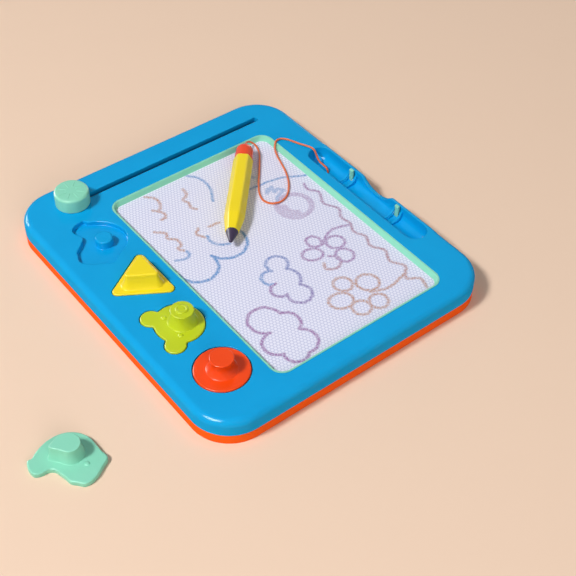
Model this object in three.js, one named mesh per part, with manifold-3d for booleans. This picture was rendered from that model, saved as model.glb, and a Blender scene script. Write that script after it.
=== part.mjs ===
// A toy magnetic drawing board in millimetres, +Z up. The origin is the middle of the board's underside,
// +X runs to the right of the child who draws and +Y away from the child, towards the row of stamps.
import * as THREE from 'three';
import { mergeVertices } from 'three/addons/utils/BufferGeometryUtils.js';
import Module from 'manifold-3d';

const wasm = await Module();
wasm.setup();

// The board's two shells
const boardWidth = 356;
const boardDepth = 315;
const boardHeight = 28;
const cornerRadius = 40;
const edgeRound = 7;
const frameWall = 2.6;
const seamHeight = 11;
const seamGap = 0.3;
const coverWall = 2.4;
const coverFloor = 2.2;
const coverEdgeRound = 2.6;
const lipHeight = 3;
const lipWall = 1.4;

// Clearances: seat is between pieces that lie on each other, run between pieces that move
const seat = 0.3;
const run = 0.3;
const overrun = 6;

// The screen's window, by its distance from the board's four edges
const windowLeft = 21.6;
const windowRight = 55.2;
const windowBack = 79.3;
const windowFront = 41.4;
const windowRadius = 13;
const bezelSlope = 4.2;
const bezelDepth = 5.3;
const bezelFlange = 3.4;
const bezelFlangeThickness = 2.2;
const filmThickness = 0.4;
const coreThickness = 1.8;
const sheetThickness = 0.4;
const screenTuck = 3.2;

// The rails that clamp the screen from below, one on its left and one on its right
const railThickness = 2;
const railWidth = 18;
const railOverlap = 5.6;
const railScrewInset = 4.3;
const railScrewCount = 3;
const railScrewRadius = 1.3;
const railScrewHeadRadius = 2.6;
const railScrewHeadDepth = 1.4;
const railScrewGrip = 4;
const railScrewBossWall = 1.6;

// The eraser that slides below the screen
const slotInset = 31.6;
const slotWidth = 6.4;
const slotEndClear = 1.6;
const slotRimWall = 1.6;
const slotRimDepth = 3.6;
const eraserParkInset = 54.5;
const barWidth = 11;
const barHeight = 5.2;
const barOverhang = 7.6;
const guideRibThickness = 2;
const guideRibRise = 2.1;
const guideRibInset = 5;
const eraserMagnetWidth = 6;
const eraserMagnetHeight = 5;
const stemSideClear = 0.4;
const stemLength = 10;
const stemRise = 5;
const knobRadius = 17.25;
const knobHeight = 16;
const knobRound = 3;
const knobWall = 2.6;
const knobBossRadius = 5.4;
const knobScrewRadius = 1.4;
const knobScrewBite = 6;
const knobScrewHeadRadius = 2.6;
const knobScrewHeadHeight = 1.6;

// The pen tray along the front edge
const trayInset = 5.5;
const trayWidth = 24.2;
const trayLength = 169;
const trayCentre = -15.5;
const trayFloor = 13;
const trayWall = 2;
const trayRound = 8;
const saddleWidth = 13;
const saddleSpan = 70;
const saddleRise = 2.4;
const saddleTop = 23.5;
const penSlack = 0.5;
const scoopCentre = -17;
const scoopHalfWidth = 22;
const scoopDepth = 10;
const clipWidth = 5;
const clipThickness = 2;
const clipTop = 28.6;
const clipBarb = 0.8;
const clipInset = 1.2;
const clipFootWidth = 9;
const clipFootDepth = 5;
const clipFootHeight = 1.5;
const clipSeatHeight = 6;

// The stamps and the recesses that they are stored in
const firstStampInset = 59;
const stampSpacing = 66.8;
const stampRowInset = 50.6;
const recessDepth = 5;
const recessFloor = 2;
const recessClear = 0.5;
const bossRadius = 8.5;
const bossHeight = 8.9;
const bossRound = 1;
const bossClear = 0.7;
const stampPlate = 5.2;
const stampRound = 1.5;
const stampHeight = 20;
const gripRound = 1;
const magnetSheetThickness = 1;
const magnetSheetInset = 2.6;
const eyeRadius = 2.6;
const eyeRise = 1.2;
const circleRadius = 25.4;
const circleRowOffset = 4.6;
const circleGripRadius = 11;
const circleGripFlare = 4.5;
const bearFaceWidth = 48.4;
const bearFaceDepth = 45.6;
const bearEarRadius = 9.9;
const bearGripRadius = 10.9;
const bearGripFlare = 3.5;
const bearNoseRadius = 5.8;
const triangleWidth = 55;
const triangleDepth = 44.5;
const triangleRadius = 3.5;
const triangleGripWidth = 26;
const triangleGripRadius = 2.6;
const triangleGripFlare = 5.5;
const whaleLength = 68;
const whaleGripLength = 26;
const whaleGripFlare = 3;
const looseStampX = -100.2;
const looseStampBehind = 96.3;
const looseStampTurn = THREE.MathUtils.degToRad(62);

// The pen, lying on the screen, its cap's end set in from the window's right and front edges
const penLength = 145;
const penFlats = 18.6;
const penCornerRadius = 3.2;
const penCapLength = 22;
const penTaperLength = 20;
const penTipLength = 14;
const penTipBase = 6.2;
const penTipEnd = 1.8;
const penBore = 5.4;
const penPlugLength = 12;
const penMagnetRadius = 1.5;
const penTipCover = 2.4;
const penEndRight = 13;
const penEndFront = 34.1;
const penDirection = new THREE.Vector3(0.743, -0.669, 0).normalize();

// The cord between the pen and the tray. Its route is a list of points chosen by hand, x, y and z
const cordRadius = 1;
const cordHoleClear = 0.5;
const cordStub = 3;
const knotRadius = 2.4;
const cordAnchorX = 44;
const cordStep = 5;
const cordRoute = [
  [114.2, -86.0, 32.2],
  [116.0, -88.5, 31.4],
  [116.9, -92.0, 29.9],
  [115.0, -95.4, 27.6],
  [111.4, -96.9, 25.4],
  [107.0, -96.2, 24.0],
  [100.0, -92.6, 23.9],
  [88.0, -84.0, 23.9],
  [74.0, -73.0, 23.9],
  [61.0, -62.6, 23.9],
  [49.0, -54.8, 23.9],
  [38.6, -52.0, 23.9],
  [30.4, -55.6, 23.9],
  [27.0, -63.8, 23.9],
  [29.4, -73.2, 23.9],
  [37.0, -82.4, 23.9],
  [48.6, -91.0, 23.9],
  [62.0, -97.6, 23.9],
  [76.0, -102.4, 23.9],
  [87.0, -106.0, 24.1],
  [94.4, -109.0, 25.6],
  [99.2, -112.6, 28.4],
  [102.0, -117.4, 29.4],
  [101.4, -122.4, 29.3],
  [97.4, -126.2, 29.3],
  [91.0, -129.4, 29.3],
  [83.6, -132.4, 29.3],
  [76.4, -135.8, 29.4],
  [71.0, -138.0, 29.6],
  [67.4, -139.0, 28.8],
  [64.9, -139.5, 26.4],
  [62.8, -139.8, 22.8],
  [60.0, -139.9, 19.4],
  [56.4, -139.9, 17.7],
  [52.8, -139.9, 17.6],
  [49.0, -139.9, 17.6],
  [47.1, -139.9, 17.2],
  [45.5, -139.9, 16.1],
  [44.4, -139.9, 14.6],
];

// The screws that hold the cover to the frame, by their distance from the board's edges
const coverScrewRadius = 1.5;
const coverScrewHeadRadius = 3;
const coverScrewHeadHeight = 2;
const coverScrewBite = 9;
const coverScrewWell = 0.8;
const pillarRadius = 4.4;
const bossMeeting = 12;
const cornerScrewInset = 23;
const cornerScrewFront = 19.5;
const backScrewInset = 9.4;
const frontScrewInset = 15.5;
const traySideClear = 12;

// Steps in round forms
const roundSteps = 3;
const cornerSteps = 6;
const smallCornerSteps = 4;
const circleSteps = 24;
const smallCircleSteps = 12;
const flareSteps = 4;
const splineSteps = 46;
const cordSides = 8;

// Outline of the whale stamp, as shares of its length, measured from its grip's middle
const whaleOutlineShares = [
  [0.53, 0.1], [0.48, 0.19], [0.39, 0.26], [0.31, 0.22], [0.22, 0.19], [0.13, 0.3], [0.04, 0.41],
  [-0.06, 0.45], [-0.17, 0.49], [-0.27, 0.42], [-0.33, 0.31], [-0.4, 0.21], [-0.45, 0.13], [-0.41, 0.05],
  [-0.35, -0.03], [-0.27, -0.17], [-0.15, -0.28], [-0.01, -0.33], [0.12, -0.31], [0.25, -0.23],
  [0.37, -0.11], [0.45, 0], [0.52, 0.03],
];
// Outline of its grip, a drop whose point looks to the tail, as shares of the grip's length
const whaleGripShares = [
  [0.6, 0.08], [0.5, 0.17], [0.3, 0.25], [0.02, 0.4], [-0.23, 0.36], [-0.4, 0.15], [-0.38, -0.12],
  [-0.12, -0.36], [0.18, -0.36], [0.42, -0.18],
];
const whaleEyeShares = [-0.2, 0.2];
const bearEarShares = [0.41, 0.38];
const bearEyeShares = [0.28, 0.17];
const bearGripShare = -0.08;
const triangleGripHeightShare = 0.85;
const triangleSeatShare = 0.34;
const neckShare = 0.12;
const splineTension = 0.5;
const softCornerShare = 0.3;
const leastRadiusShare = 0.125;
const leastLeanShare = 0.2;
const trayEndShare = 0.495;
const guideRibShare = 0.75;
const screwHeadRoundShare = 0.3;
const hexagonSides = 6;

// Places that follow from the sizes
const halfWidth = boardWidth / 2;
const halfDepth = boardDepth / 2;
const ceiling = boardHeight - frameWall;
const windowX = [-halfWidth + windowLeft, halfWidth - windowRight];
const windowY = [-halfDepth + windowFront, halfDepth - windowBack];
const windowWidth = windowX[1] - windowX[0];
const windowDepth = windowY[1] - windowY[0];
const windowCentre = new THREE.Vector2((windowX[0] + windowX[1]) / 2, (windowY[0] + windowY[1]) / 2);
const filmTop = boardHeight - bezelDepth;
const coreTop = filmTop - filmThickness;
const sheetTop = coreTop - coreThickness;
const railTop = sheetTop - sheetThickness;
const railBottom = railTop - railThickness;
const barTop = railBottom - run;
const barBottom = barTop - barHeight;
const slotX = halfWidth - slotInset;
const eraserParkY = halfDepth - eraserParkInset;
const trayY = -halfDepth + trayInset + trayWidth / 2;
const trayBack = trayY + trayWidth / 2 + trayWall;
const eraserEndY = trayBack + run + run + barWidth / 2 + trayWall;
const recessZ = boardHeight - recessDepth;
const stampZ = recessZ + seat;
const stampRowY = halfDepth - stampRowInset;
const hexCorner = penFlats / 2 / Math.cos(Math.PI / hexagonSides);
const penZ = filmTop + seat + penFlats / 2;
const penEnd = new THREE.Vector3(windowX[1] - penEndRight, windowY[0] + penEndFront, penZ);

// The colours of the mouldings
function plastic(color, roughness = 0.38) {
  return new THREE.MeshStandardMaterial({ color, roughness, metalness: 0 });
}
const blue = plastic(0x169ad8);
const orange = plastic(0xf05a23);
const mint = plastic(0x8fd5b9);
const yellow = plastic(0xf5dc1e);
const lime = plastic(0xc8dc28);
const red = plastic(0xf34b21);
const darkPlum = plastic(0x2d2337, 0.5);
const film = plastic(0xdcdef2, 0.45);
const core = plastic(0xb8bcc8, 0.6);
const blackRubber = plastic(0x26262a, 0.8);
const magnetGrey = new THREE.MeshStandardMaterial({ color: 0x55575c, roughness: 0.45, metalness: 0.7 });
const steel = new THREE.MeshStandardMaterial({ color: 0xb9bcc0, roughness: 0.3, metalness: 1 });
const cordOrange = plastic(0xe16e32, 0.85);

// Plan outlines are lists of points that run counter-clockwise seen from above
function point(x, y) {
  return new THREE.Vector2(x, y);
}

// An outline that can be drawn again any distance larger or smaller
function drawn(draw, grow = 0) {
  const outline = draw(grow);
  outline.grown = (distance) => drawn(draw, grow + distance);
  return outline;
}

function offsetOutline(outline, distance) {
  if (outline.grown) {
    return outline.grown(distance);
  }
  return outline.map((corner, i) => {
    const before = outline[(i + outline.length - 1) % outline.length];
    const after = outline[(i + 1) % outline.length];
    const arriving = corner.clone().sub(before).normalize();
    const leaving = after.clone().sub(corner).normalize();
    const outward = point(arriving.y + leaving.y, -arriving.x - leaving.x).normalize();
    const lean = Math.max(outward.dot(point(leaving.y, -leaving.x)), leastLeanShare);
    return corner.clone().addScaledVector(outward, distance / lean);
  });
}

function roundedPolygon(corners, radius, steps) {
  return corners.flatMap((corner, i) => {
    const before = corners[(i + corners.length - 1) % corners.length];
    const after = corners[(i + 1) % corners.length];
    const arriving = corner.clone().sub(before).normalize();
    const leaving = after.clone().sub(corner).normalize();
    const turn = Math.acos(THREE.MathUtils.clamp(arriving.dot(leaving), -1, 1));
    const start = corner.clone().addScaledVector(arriving, -radius * Math.tan(turn / 2));
    const centre = start.clone().add(point(-arriving.y, arriving.x).multiplyScalar(radius));
    const arc = [];
    for (let step = 0; step <= steps; step += 1) {
      arc.push(start.clone().rotateAround(centre, turn * step / steps));
    }
    return arc;
  });
}

function rectangle(width, depth, centre, radius = 0, steps = cornerSteps) {
  return drawn((grow) => {
    const corners = [[-1, -1], [1, -1], [1, 1], [-1, 1]].map(([sideX, sideY]) => (
      point(centre.x + sideX * (width / 2 + grow), centre.y + sideY * (depth / 2 + grow))
    ));
    const grown = Math.max(radius + grow, radius * leastRadiusShare);
    return radius > 0 ? roundedPolygon(corners, grown, steps) : corners;
  });
}

function ellipse(radiusX, radiusY, centre, steps = circleSteps) {
  return drawn((grow) => Array.from({ length: steps }, (_, i) => {
    const angle = 2 * Math.PI * i / steps;
    const arm = point((radiusX + grow) * Math.cos(angle), (radiusY + grow) * Math.sin(angle));
    return arm.add(centre);
  }));
}

function circle(radius, centre, steps = circleSteps) {
  return ellipse(radius, radius, centre, steps);
}

function splineOutline(shares, length, centre) {
  const knots = shares.map(([shareX, shareY]) => (
    new THREE.Vector3(centre.x + shareX * length, centre.y + shareY * length, 0)
  ));
  const curve = new THREE.CatmullRomCurve3(knots, true, 'catmullrom', splineTension);
  return curve.getSpacedPoints(splineSteps).slice(0, splineSteps).map((knot) => point(knot.x, knot.y));
}

// A closed skin through rings of equal counts, from the lowest ring to the highest
function loft(levels) {
  const count = levels[0].outline.length;
  const positions = levels.flatMap(({ outline, z }) => outline.flatMap((corner) => [corner.x, corner.y, z]));
  const index = [];
  for (let level = 0; level < levels.length - 1; level += 1) {
    for (let i = 0; i < count; i += 1) {
      const low = level * count + i;
      const lowNext = level * count + (i + 1) % count;
      index.push(low, lowNext, lowNext + count, low, lowNext + count, low + count);
    }
  }
  const top = (levels.length - 1) * count;
  THREE.ShapeUtils.triangulateShape(levels[0].outline, []).forEach(([a, b, c]) => index.push(a, c, b));
  THREE.ShapeUtils.triangulateShape(levels[levels.length - 1].outline, []).forEach(([a, b, c]) => (
    index.push(top + a, top + b, top + c)
  ));
  const geometry = new THREE.BufferGeometry();
  geometry.setAttribute('position', new THREE.Float32BufferAttribute(positions, 3));
  geometry.setIndex(index);
  return geometry;
}

// A plate of any outline whose lower and upper edges can be rounded
function slab(outline, low, high, { lowRound = 0, highRound = 0 } = {}) {
  const levels = [];
  const lowSteps = lowRound > 0 ? roundSteps : 0;
  const highSteps = highRound > 0 ? roundSteps : 0;
  for (let step = 0; step <= lowSteps; step += 1) {
    const angle = lowSteps > 0 ? Math.PI / 2 * step / lowSteps : Math.PI / 2;
    levels.push({
      outline: offsetOutline(outline, -lowRound * (1 - Math.sin(angle))),
      z: low + lowRound * (1 - Math.cos(angle)),
    });
  }
  for (let step = 0; step <= highSteps; step += 1) {
    const angle = highSteps > 0 ? Math.PI / 2 * step / highSteps : 0;
    levels.push({
      outline: offsetOutline(outline, -highRound * (1 - Math.cos(angle))),
      z: high - highRound * (1 - Math.sin(angle)),
    });
  }
  return loft(levels);
}

// Solids that can be joined and cut
function solid(geometry) {
  const bare = geometry.clone();
  bare.deleteAttribute('normal');
  bare.deleteAttribute('uv');
  const merged = mergeVertices(bare);
  return new wasm.Manifold(new wasm.Mesh({
    numProp: 3,
    vertProperties: new Float32Array(merged.attributes.position.array),
    triVerts: new Uint32Array(merged.index.array),
  }));
}

function plate(outline, low, high, rounds) {
  return solid(slab(outline, low, high, rounds));
}

function column(radius, low, high, centre, rounds, steps = smallCircleSteps) {
  return plate(circle(radius, centre, steps), low, high, rounds);
}

function block(low, high) {
  const centre = point((low[0] + high[0]) / 2, (low[1] + high[1]) / 2);
  return plate(rectangle(high[0] - low[0], high[1] - low[1], centre), low[2], high[2]);
}

function join(...pieces) {
  return pieces.reduce((whole, piece) => whole.add(piece));
}

function cut(whole, ...tools) {
  return tools.reduce((rest, tool) => rest.subtract(tool), whole);
}

function skin(manifold) {
  const mesh = manifold.getMesh();
  const geometry = new THREE.BufferGeometry();
  const corners = new Float32Array(mesh.numVert * 3);
  for (let i = 0; i < mesh.numVert; i += 1) {
    for (let axis = 0; axis < 3; axis += 1) {
      corners[3 * i + axis] = mesh.vertProperties[mesh.numProp * i + axis];
    }
  }
  geometry.setAttribute('position', new THREE.BufferAttribute(corners, 3));
  geometry.setIndex(new THREE.BufferAttribute(new Uint32Array(mesh.triVerts), 1));
  geometry.computeVertexNormals();
  return geometry;
}

const board = new THREE.Group();

function add(name, shape, material, parent = board) {
  const mesh = new THREE.Mesh(shape.isBufferGeometry ? shape : skin(shape), material);
  mesh.name = name;
  parent.add(mesh);
  return mesh;
}

// The four stamps: outlines in plan round the grip's middle, and what stands on the plate
function gripLevels(outline, low, high, flare, neck) {
  const levels = [];
  for (let step = 0; step <= flareSteps; step += 1) {
    const climb = step / flareSteps;
    const spread = flare * (1 - climb) ** 2 - neck * Math.sin(Math.PI * climb);
    levels.push({ outline: offsetOutline(outline, spread), z: low + (high - gripRound - low) * climb });
  }
  levels.push({ outline: offsetOutline(outline, -gripRound), z: high });
  return levels;
}

const middle = point(0, 0);

function circleStamp() {
  return {
    plates: [circle(circleRadius, middle, circleSteps + smallCornerSteps)],
    grip: circle(circleGripRadius, middle),
    flare: circleGripFlare,
    neck: circleGripRadius * neckShare,
    bumps: [],
    rowOffset: circleRowOffset,
  };
}

function bearStamp() {
  const face = point(0, -bearGripShare * bearFaceDepth);
  const ears = [-1, 1].map((side) => (
    point(side * bearEarShares[0] * bearFaceWidth, face.y + bearEarShares[1] * bearFaceDepth)
  ));
  const eyes = [-1, 1].map((side) => (
    point(side * bearEyeShares[0] * bearFaceWidth, face.y + bearEyeShares[1] * bearFaceDepth)
  ));
  return {
    plates: [
      ellipse(bearFaceWidth / 2, bearFaceDepth / 2, face),
      ...ears.map((ear) => circle(bearEarRadius, ear, smallCircleSteps + smallCornerSteps)),
    ],
    grip: circle(bearGripRadius, middle),
    flare: bearGripFlare,
    neck: 0,
    bumps: eyes,
    nose: bearNoseRadius,
    rowOffset: 0,
  };
}

function triangleOutline(width, depth, radius) {
  const base = -triangleSeatShare * depth;
  const corners = [point(-width / 2, base), point(width / 2, base), point(0, base + depth)];
  return drawn((grow) => (
    roundedPolygon(offsetOutline(corners, radius + grow), radius + grow, smallCornerSteps)
  ));
}

function triangleStamp() {
  const gripDepth = triangleGripWidth * triangleGripHeightShare;
  return {
    plates: [triangleOutline(triangleWidth, triangleDepth, triangleRadius)],
    grip: triangleOutline(triangleGripWidth, gripDepth, triangleGripRadius),
    flare: triangleGripFlare,
    neck: 0,
    bumps: [],
    rowOffset: 0,
  };
}

function whaleStamp() {
  const eye = point(whaleEyeShares[0] * whaleLength, whaleEyeShares[1] * whaleLength);
  return {
    plates: [splineOutline(whaleOutlineShares, whaleLength, middle)],
    grip: splineOutline(whaleGripShares, whaleGripLength, middle),
    flare: whaleGripFlare,
    neck: 0,
    bumps: [eye],
    rowOffset: 0,
  };
}

const stampKinds = [
  { name: 'circle', form: circleStamp(), material: red },
  { name: 'bear', form: bearStamp(), material: lime },
  { name: 'triangle', form: triangleStamp(), material: yellow },
  { name: 'whale', form: whaleStamp(), material: mint },
];
stampKinds.forEach((kind, i) => {
  kind.home = point(-halfWidth + firstStampInset + i * stampSpacing, stampRowY + kind.form.rowOffset);
});

function plates(form, grow, low, high, rounds) {
  return join(...form.plates.map((outline) => plate(offsetOutline(outline, grow), low, high, rounds)));
}

function stampSolid(form) {
  const hollowTop = bossHeight - seat + bossClear;
  let stamp = join(
    plates(form, 0, 0, stampPlate, { highRound: stampRound }),
    solid(loft(gripLevels(form.grip, stampPlate - stampRound, stampHeight, form.flare, form.neck))),
    ...form.bumps.map((eye) => (
      column(eyeRadius, stampPlate - stampRound, stampPlate + eyeRise, eye, { highRound: eyeRise })
    )),
  );
  if (form.nose) {
    const noseTop = stampHeight + eyeRise;
    stamp = join(stamp, column(form.nose, stampHeight - gripRound, noseTop, middle, { highRound: eyeRise }));
  }
  return cut(
    stamp,
    plates(form, -magnetSheetInset + seat, -overrun, magnetSheetThickness),
    column(bossRadius + bossClear, -overrun, hollowTop, middle, {}, circleSteps),
  );
}

function magnetSheet(form) {
  return cut(
    plates(form, -magnetSheetInset, 0, magnetSheetThickness),
    column(bossRadius + bossClear + seat, -overrun, overrun, middle, {}, circleSteps),
  );
}

function addStamps() {
  stampKinds.forEach(({ name, form, material, home }) => {
    const place = new THREE.Group();
    place.position.set(home.x, home.y, stampZ);
    if (name === 'whale') {
      place.position.set(looseStampX, halfDepth + looseStampBehind, 0);
      place.rotation.z = looseStampTurn;
    }
    add(`${name}_stamp`, stampSolid(form), material, place);
    add(`${name}_magnet`, magnetSheet(form), blackRubber, place);
    board.add(place);
  });
}

// Screw places: eight for the cover, and a row on each rail
const cornerScrewX = halfWidth - cornerScrewInset;
const cornerScrewY = halfDepth - cornerScrewFront;
const betweenStamps = [0, 2].map((i) => (stampKinds[i].home.x + stampKinds[i + 1].home.x) / 2);
const trayEnds = [
  trayCentre - trayLength / 2 - traySideClear,
  trayCentre + trayLength / 2 + traySideClear,
];
const coverScrews = [
  point(-cornerScrewX, -cornerScrewY), point(cornerScrewX, -cornerScrewY),
  point(-cornerScrewX, cornerScrewY), point(cornerScrewX, cornerScrewY),
  ...betweenStamps.map((x) => point(x, halfDepth - backScrewInset)),
  ...trayEnds.map((x) => point(x, -halfDepth + frontScrewInset)),
];
const rails = [
  { name: 'left', inner: windowX[0] - screenTuck + railOverlap, side: -1 },
  { name: 'right', inner: windowX[1] + screenTuck - railOverlap, side: 1 },
];
rails.forEach((rail) => {
  rail.outer = rail.inner + rail.side * railWidth;
  rail.screws = Array.from({ length: railScrewCount }, (_, i) => point(
    rail.outer - rail.side * railScrewInset,
    windowCentre.y + (i - (railScrewCount - 1) / 2) * windowDepth / railScrewCount,
  ));
});

// Pen tray: a long trough with round ends
const trayMiddle = point(trayCentre, trayY);
const trayOutline = rectangle(trayLength, trayWidth, trayMiddle, trayWidth * trayEndShare);
const saddles = [-1, 1].map((side) => scoopCentre + side * saddleSpan / 2);
const cradleRadius = hexCorner + penSlack;
const clipY = -halfDepth + trayInset + clipInset + clipThickness / 2;

function alongX(radius, from, to, y, z) {
  const rod = new THREE.CylinderGeometry(radius, radius, to - from, circleSteps);
  rod.rotateZ(Math.PI / 2);
  rod.translate((from + to) / 2, y, z);
  return solid(rod);
}

function alongY(radius, from, to, x, z) {
  const rod = new THREE.CylinderGeometry(radius, radius, to - from, circleSteps * 2);
  rod.translate(x, (from + to) / 2, z);
  return solid(rod);
}

function saddle(x) {
  const band = plate(
    rectangle(saddleWidth, trayWidth + trayWall, point(x, trayY)),
    trayFloor - trayWall,
    saddleTop,
  );
  const cradle = alongX(
    cradleRadius,
    x - saddleWidth,
    x + saddleWidth,
    trayY,
    trayFloor + saddleRise + cradleRadius,
  );
  return cut(band, cradle);
}

function clipSeat(x) {
  const wide = clipFootWidth / 2 + trayWall;
  const front = clipY - clipThickness;
  const low = trayFloor - trayWall;
  return block([x - wide, front, low], [x + wide, front + clipFootDepth + trayWall, low + clipSeatHeight]);
}

// Top frame: the blue shell with its window, slot, tray, recesses and screw bosses
function topFrame() {
  const outline = rectangle(boardWidth, boardDepth, middle, cornerRadius);
  const outside = plate(outline, seamHeight, boardHeight, { highRound: edgeRound });
  const cavity = plate(
    offsetOutline(outline, -frameWall),
    seamHeight - overrun,
    ceiling,
    { highRound: edgeRound - frameWall },
  );
  const tray = plate(
    offsetOutline(trayOutline, trayWall),
    trayFloor - trayWall,
    boardHeight,
    { lowRound: trayRound + trayWall },
  );
  const trayStraight = trayLength / 2 - trayWidth / 2;
  const trayFront = block(
    [trayCentre - trayStraight, -halfDepth + frameWall / 2, trayFloor],
    [trayCentre + trayStraight, trayY, boardHeight],
  );
  const trayPocket = plate(trayOutline, trayFloor, boardHeight + overrun, { lowRound: trayRound });
  const recessBlocks = stampKinds.map(({ form, home }) => (
    plates(form, recessClear + recessFloor, recessZ - recessFloor, boardHeight - frameWall / 2)
      .translate([home.x, home.y, 0])
  ));
  const recessPockets = stampKinds.map(({ form, home }) => (
    plates(form, recessClear, recessZ, boardHeight + overrun).translate([home.x, home.y, 0])
  ));
  const bossTop = recessZ + bossHeight;
  const recessBosses = stampKinds.map(({ home }) => (
    column(bossRadius, recessZ - recessFloor, bossTop, home, { highRound: bossRound }, circleSteps)
  ));
  const scoopRadius = (scoopHalfWidth ** 2 + scoopDepth ** 2) / (2 * scoopDepth);
  const scoop = alongY(
    scoopRadius,
    -halfDepth - overrun,
    trayY - trayWidth / 2 + trayWall,
    scoopCentre,
    boardHeight - scoopDepth + scoopRadius,
  );
  const windowHole = plate(
    rectangle(windowWidth, windowDepth, windowCentre, windowRadius),
    0,
    boardHeight + overrun,
  );
  const slotBack = eraserParkY + stemLength / 2 + slotEndClear;
  const slotFront = eraserEndY - stemLength / 2 - slotEndClear;
  const slotMiddle = point(slotX, (slotBack + slotFront) / 2);
  const slotOutline = rectangle(
    slotWidth,
    slotBack - slotFront,
    slotMiddle,
    slotWidth * softCornerShare,
    smallCornerSteps,
  );
  const slot = plate(slotOutline, 0, boardHeight + overrun);
  const slotRim = plate(
    offsetOutline(slotOutline, slotRimWall),
    ceiling - slotRimDepth,
    boardHeight - frameWall / 2,
  );
  const coverBosses = coverScrews.map((place) => (
    column(pillarRadius, bossMeeting, boardHeight - frameWall / 2, place)
  ));
  const railBosses = rails.flatMap(({ screws }) => screws.map((place) => (
    column(railScrewRadius + seat + railScrewBossWall, railTop + seat, boardHeight - frameWall / 2, place)
  )));
  const pilots = [
    ...coverScrews.map((place) => (
      column(coverScrewRadius + seat, bossMeeting - overrun, bossMeeting + coverScrewBite + seat, place)
    )),
    ...rails.flatMap(({ screws }) => screws.map((place) => (
      column(railScrewRadius + seat, railTop - overrun, railTop + railScrewGrip + seat, place)
    ))),
  ];
  const clipSlots = saddles.map((x) => block(
    [x - clipWidth / 2 - seat, clipY - clipThickness / 2 - seat, 0],
    [x + clipWidth / 2 + seat, clipY + clipThickness / 2 + seat, boardHeight],
  ));
  const cordHole = column(cordRadius + cordHoleClear, 0, boardHeight, point(cordAnchorX, trayY));
  let frame = join(
    cut(outside, cavity),
    join(tray, trayFront).intersect(outside),
    slotRim,
    ...recessBlocks,
    ...coverBosses.map((pillar) => pillar.intersect(outside)),
    ...railBosses,
    ...saddles.map((x) => clipSeat(x).intersect(outside)),
  );
  frame = cut(frame, ...recessPockets, trayPocket, windowHole);
  frame = join(frame, ...recessBosses, ...saddles.map((x) => saddle(x).intersect(outside)));
  return cut(frame, scoop, slot, cordHole, ...clipSlots, ...pilots);
}

// Back cover: the orange tray that closes the board, with pillars and the ribs that carry the eraser
const barX = [rails[0].outer + railScrewInset + railScrewHeadRadius + run + run, slotX + barOverhang];
const ribXs = [barX[0] + guideRibInset, rails[1].inner + railWidth * guideRibShare];
const ribTop = barBottom + guideRibRise - run;

function backCover() {
  const outline = rectangle(boardWidth, boardDepth, middle, cornerRadius);
  const outside = plate(outline, 0, seamHeight - seamGap, { lowRound: coverEdgeRound });
  const cavity = plate(offsetOutline(outline, -coverWall), coverFloor, seamHeight + overrun);
  const lipOutline = offsetOutline(outline, -frameWall - seat);
  const lip = cut(
    plate(lipOutline, coverFloor, seamHeight + lipHeight),
    plate(offsetOutline(lipOutline, -lipWall), coverFloor - overrun, seamHeight + lipHeight + overrun),
    plate(
      offsetOutline(trayOutline, trayWall + lipWall),
      trayFloor - trayWall - lipWall,
      boardHeight,
    ),
    ...saddles.map((x) => block(
      [x - clipFootWidth, -halfDepth, coverFloor + clipFootHeight],
      [x + clipFootWidth, trayY, boardHeight],
    )),
  );
  const pillars = coverScrews.map((place) => (
    column(pillarRadius, coverFloor / 2, bossMeeting - seat, place)
  ));
  const ribLow = eraserEndY - barWidth;
  const ribHigh = eraserParkY + barWidth;
  const ribs = ribXs.map((x) => block(
    [x - guideRibThickness / 2, ribLow, coverFloor / 2],
    [x + guideRibThickness / 2, ribHigh, ribTop],
  ));
  const heads = coverScrews.flatMap((place) => [
    column(coverScrewHeadRadius + seat, -overrun, coverScrewWell + coverScrewHeadHeight + seat, place),
    column(coverScrewRadius + seat, -overrun, boardHeight, place),
  ]);
  return cut(join(cut(outside, cavity), lip, ...pillars, ...ribs), ...heads);
}

function addScrew(name, place, sizes) {
  const { radius, headRadius, headHeight, headLow, tip, sunk } = sizes;
  const head = sunk
    ? solid(loft([
      { outline: circle(headRadius, place, smallCircleSteps), z: headLow },
      { outline: circle(radius, place, smallCircleSteps), z: headLow + headHeight },
    ]))
    : column(headRadius, headLow, headLow + headHeight, place, { lowRound: headHeight * screwHeadRoundShare });
  add(name, join(head, column(radius, headLow + headHeight / 2, tip, place)), steel);
}

function addCoverScrews() {
  coverScrews.forEach((place, i) => addScrew(`cover_screw_${i + 1}`, place, {
    radius: coverScrewRadius,
    headRadius: coverScrewHeadRadius,
    headHeight: coverScrewHeadHeight,
    headLow: coverScrewWell,
    tip: bossMeeting + coverScrewBite,
  }));
}

// The screen: bezel, front film, honeycomb with its liquid, back sheet and the two clamping rails
function screenBezel() {
  const windowOutline = rectangle(windowWidth, windowDepth, windowCentre, windowRadius);
  const upper = offsetOutline(windowOutline, -seat);
  const ring = join(
    plate(upper, filmTop, boardHeight),
    plate(offsetOutline(windowOutline, bezelFlange), filmTop, filmTop + bezelFlangeThickness),
  );
  const slopeRun = bezelSlope - seat;
  const well = solid(loft([
    { outline: offsetOutline(upper, -slopeRun - slopeRun * overrun / bezelDepth), z: filmTop - overrun },
    { outline: offsetOutline(upper, -slopeRun), z: filmTop },
    { outline: offsetOutline(upper, -seat), z: boardHeight },
    { outline: offsetOutline(upper, -seat), z: boardHeight + overrun },
  ]));
  const throat = plate(offsetOutline(upper, -slopeRun), filmTop - overrun, filmTop + filmThickness);
  return cut(ring, well, throat);
}

function screenSheet(low, high) {
  return plate(rectangle(
    windowWidth + 2 * screenTuck,
    windowDepth + 2 * screenTuck,
    windowCentre,
    windowRadius,
    smallCornerSteps,
  ), low, high);
}

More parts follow.
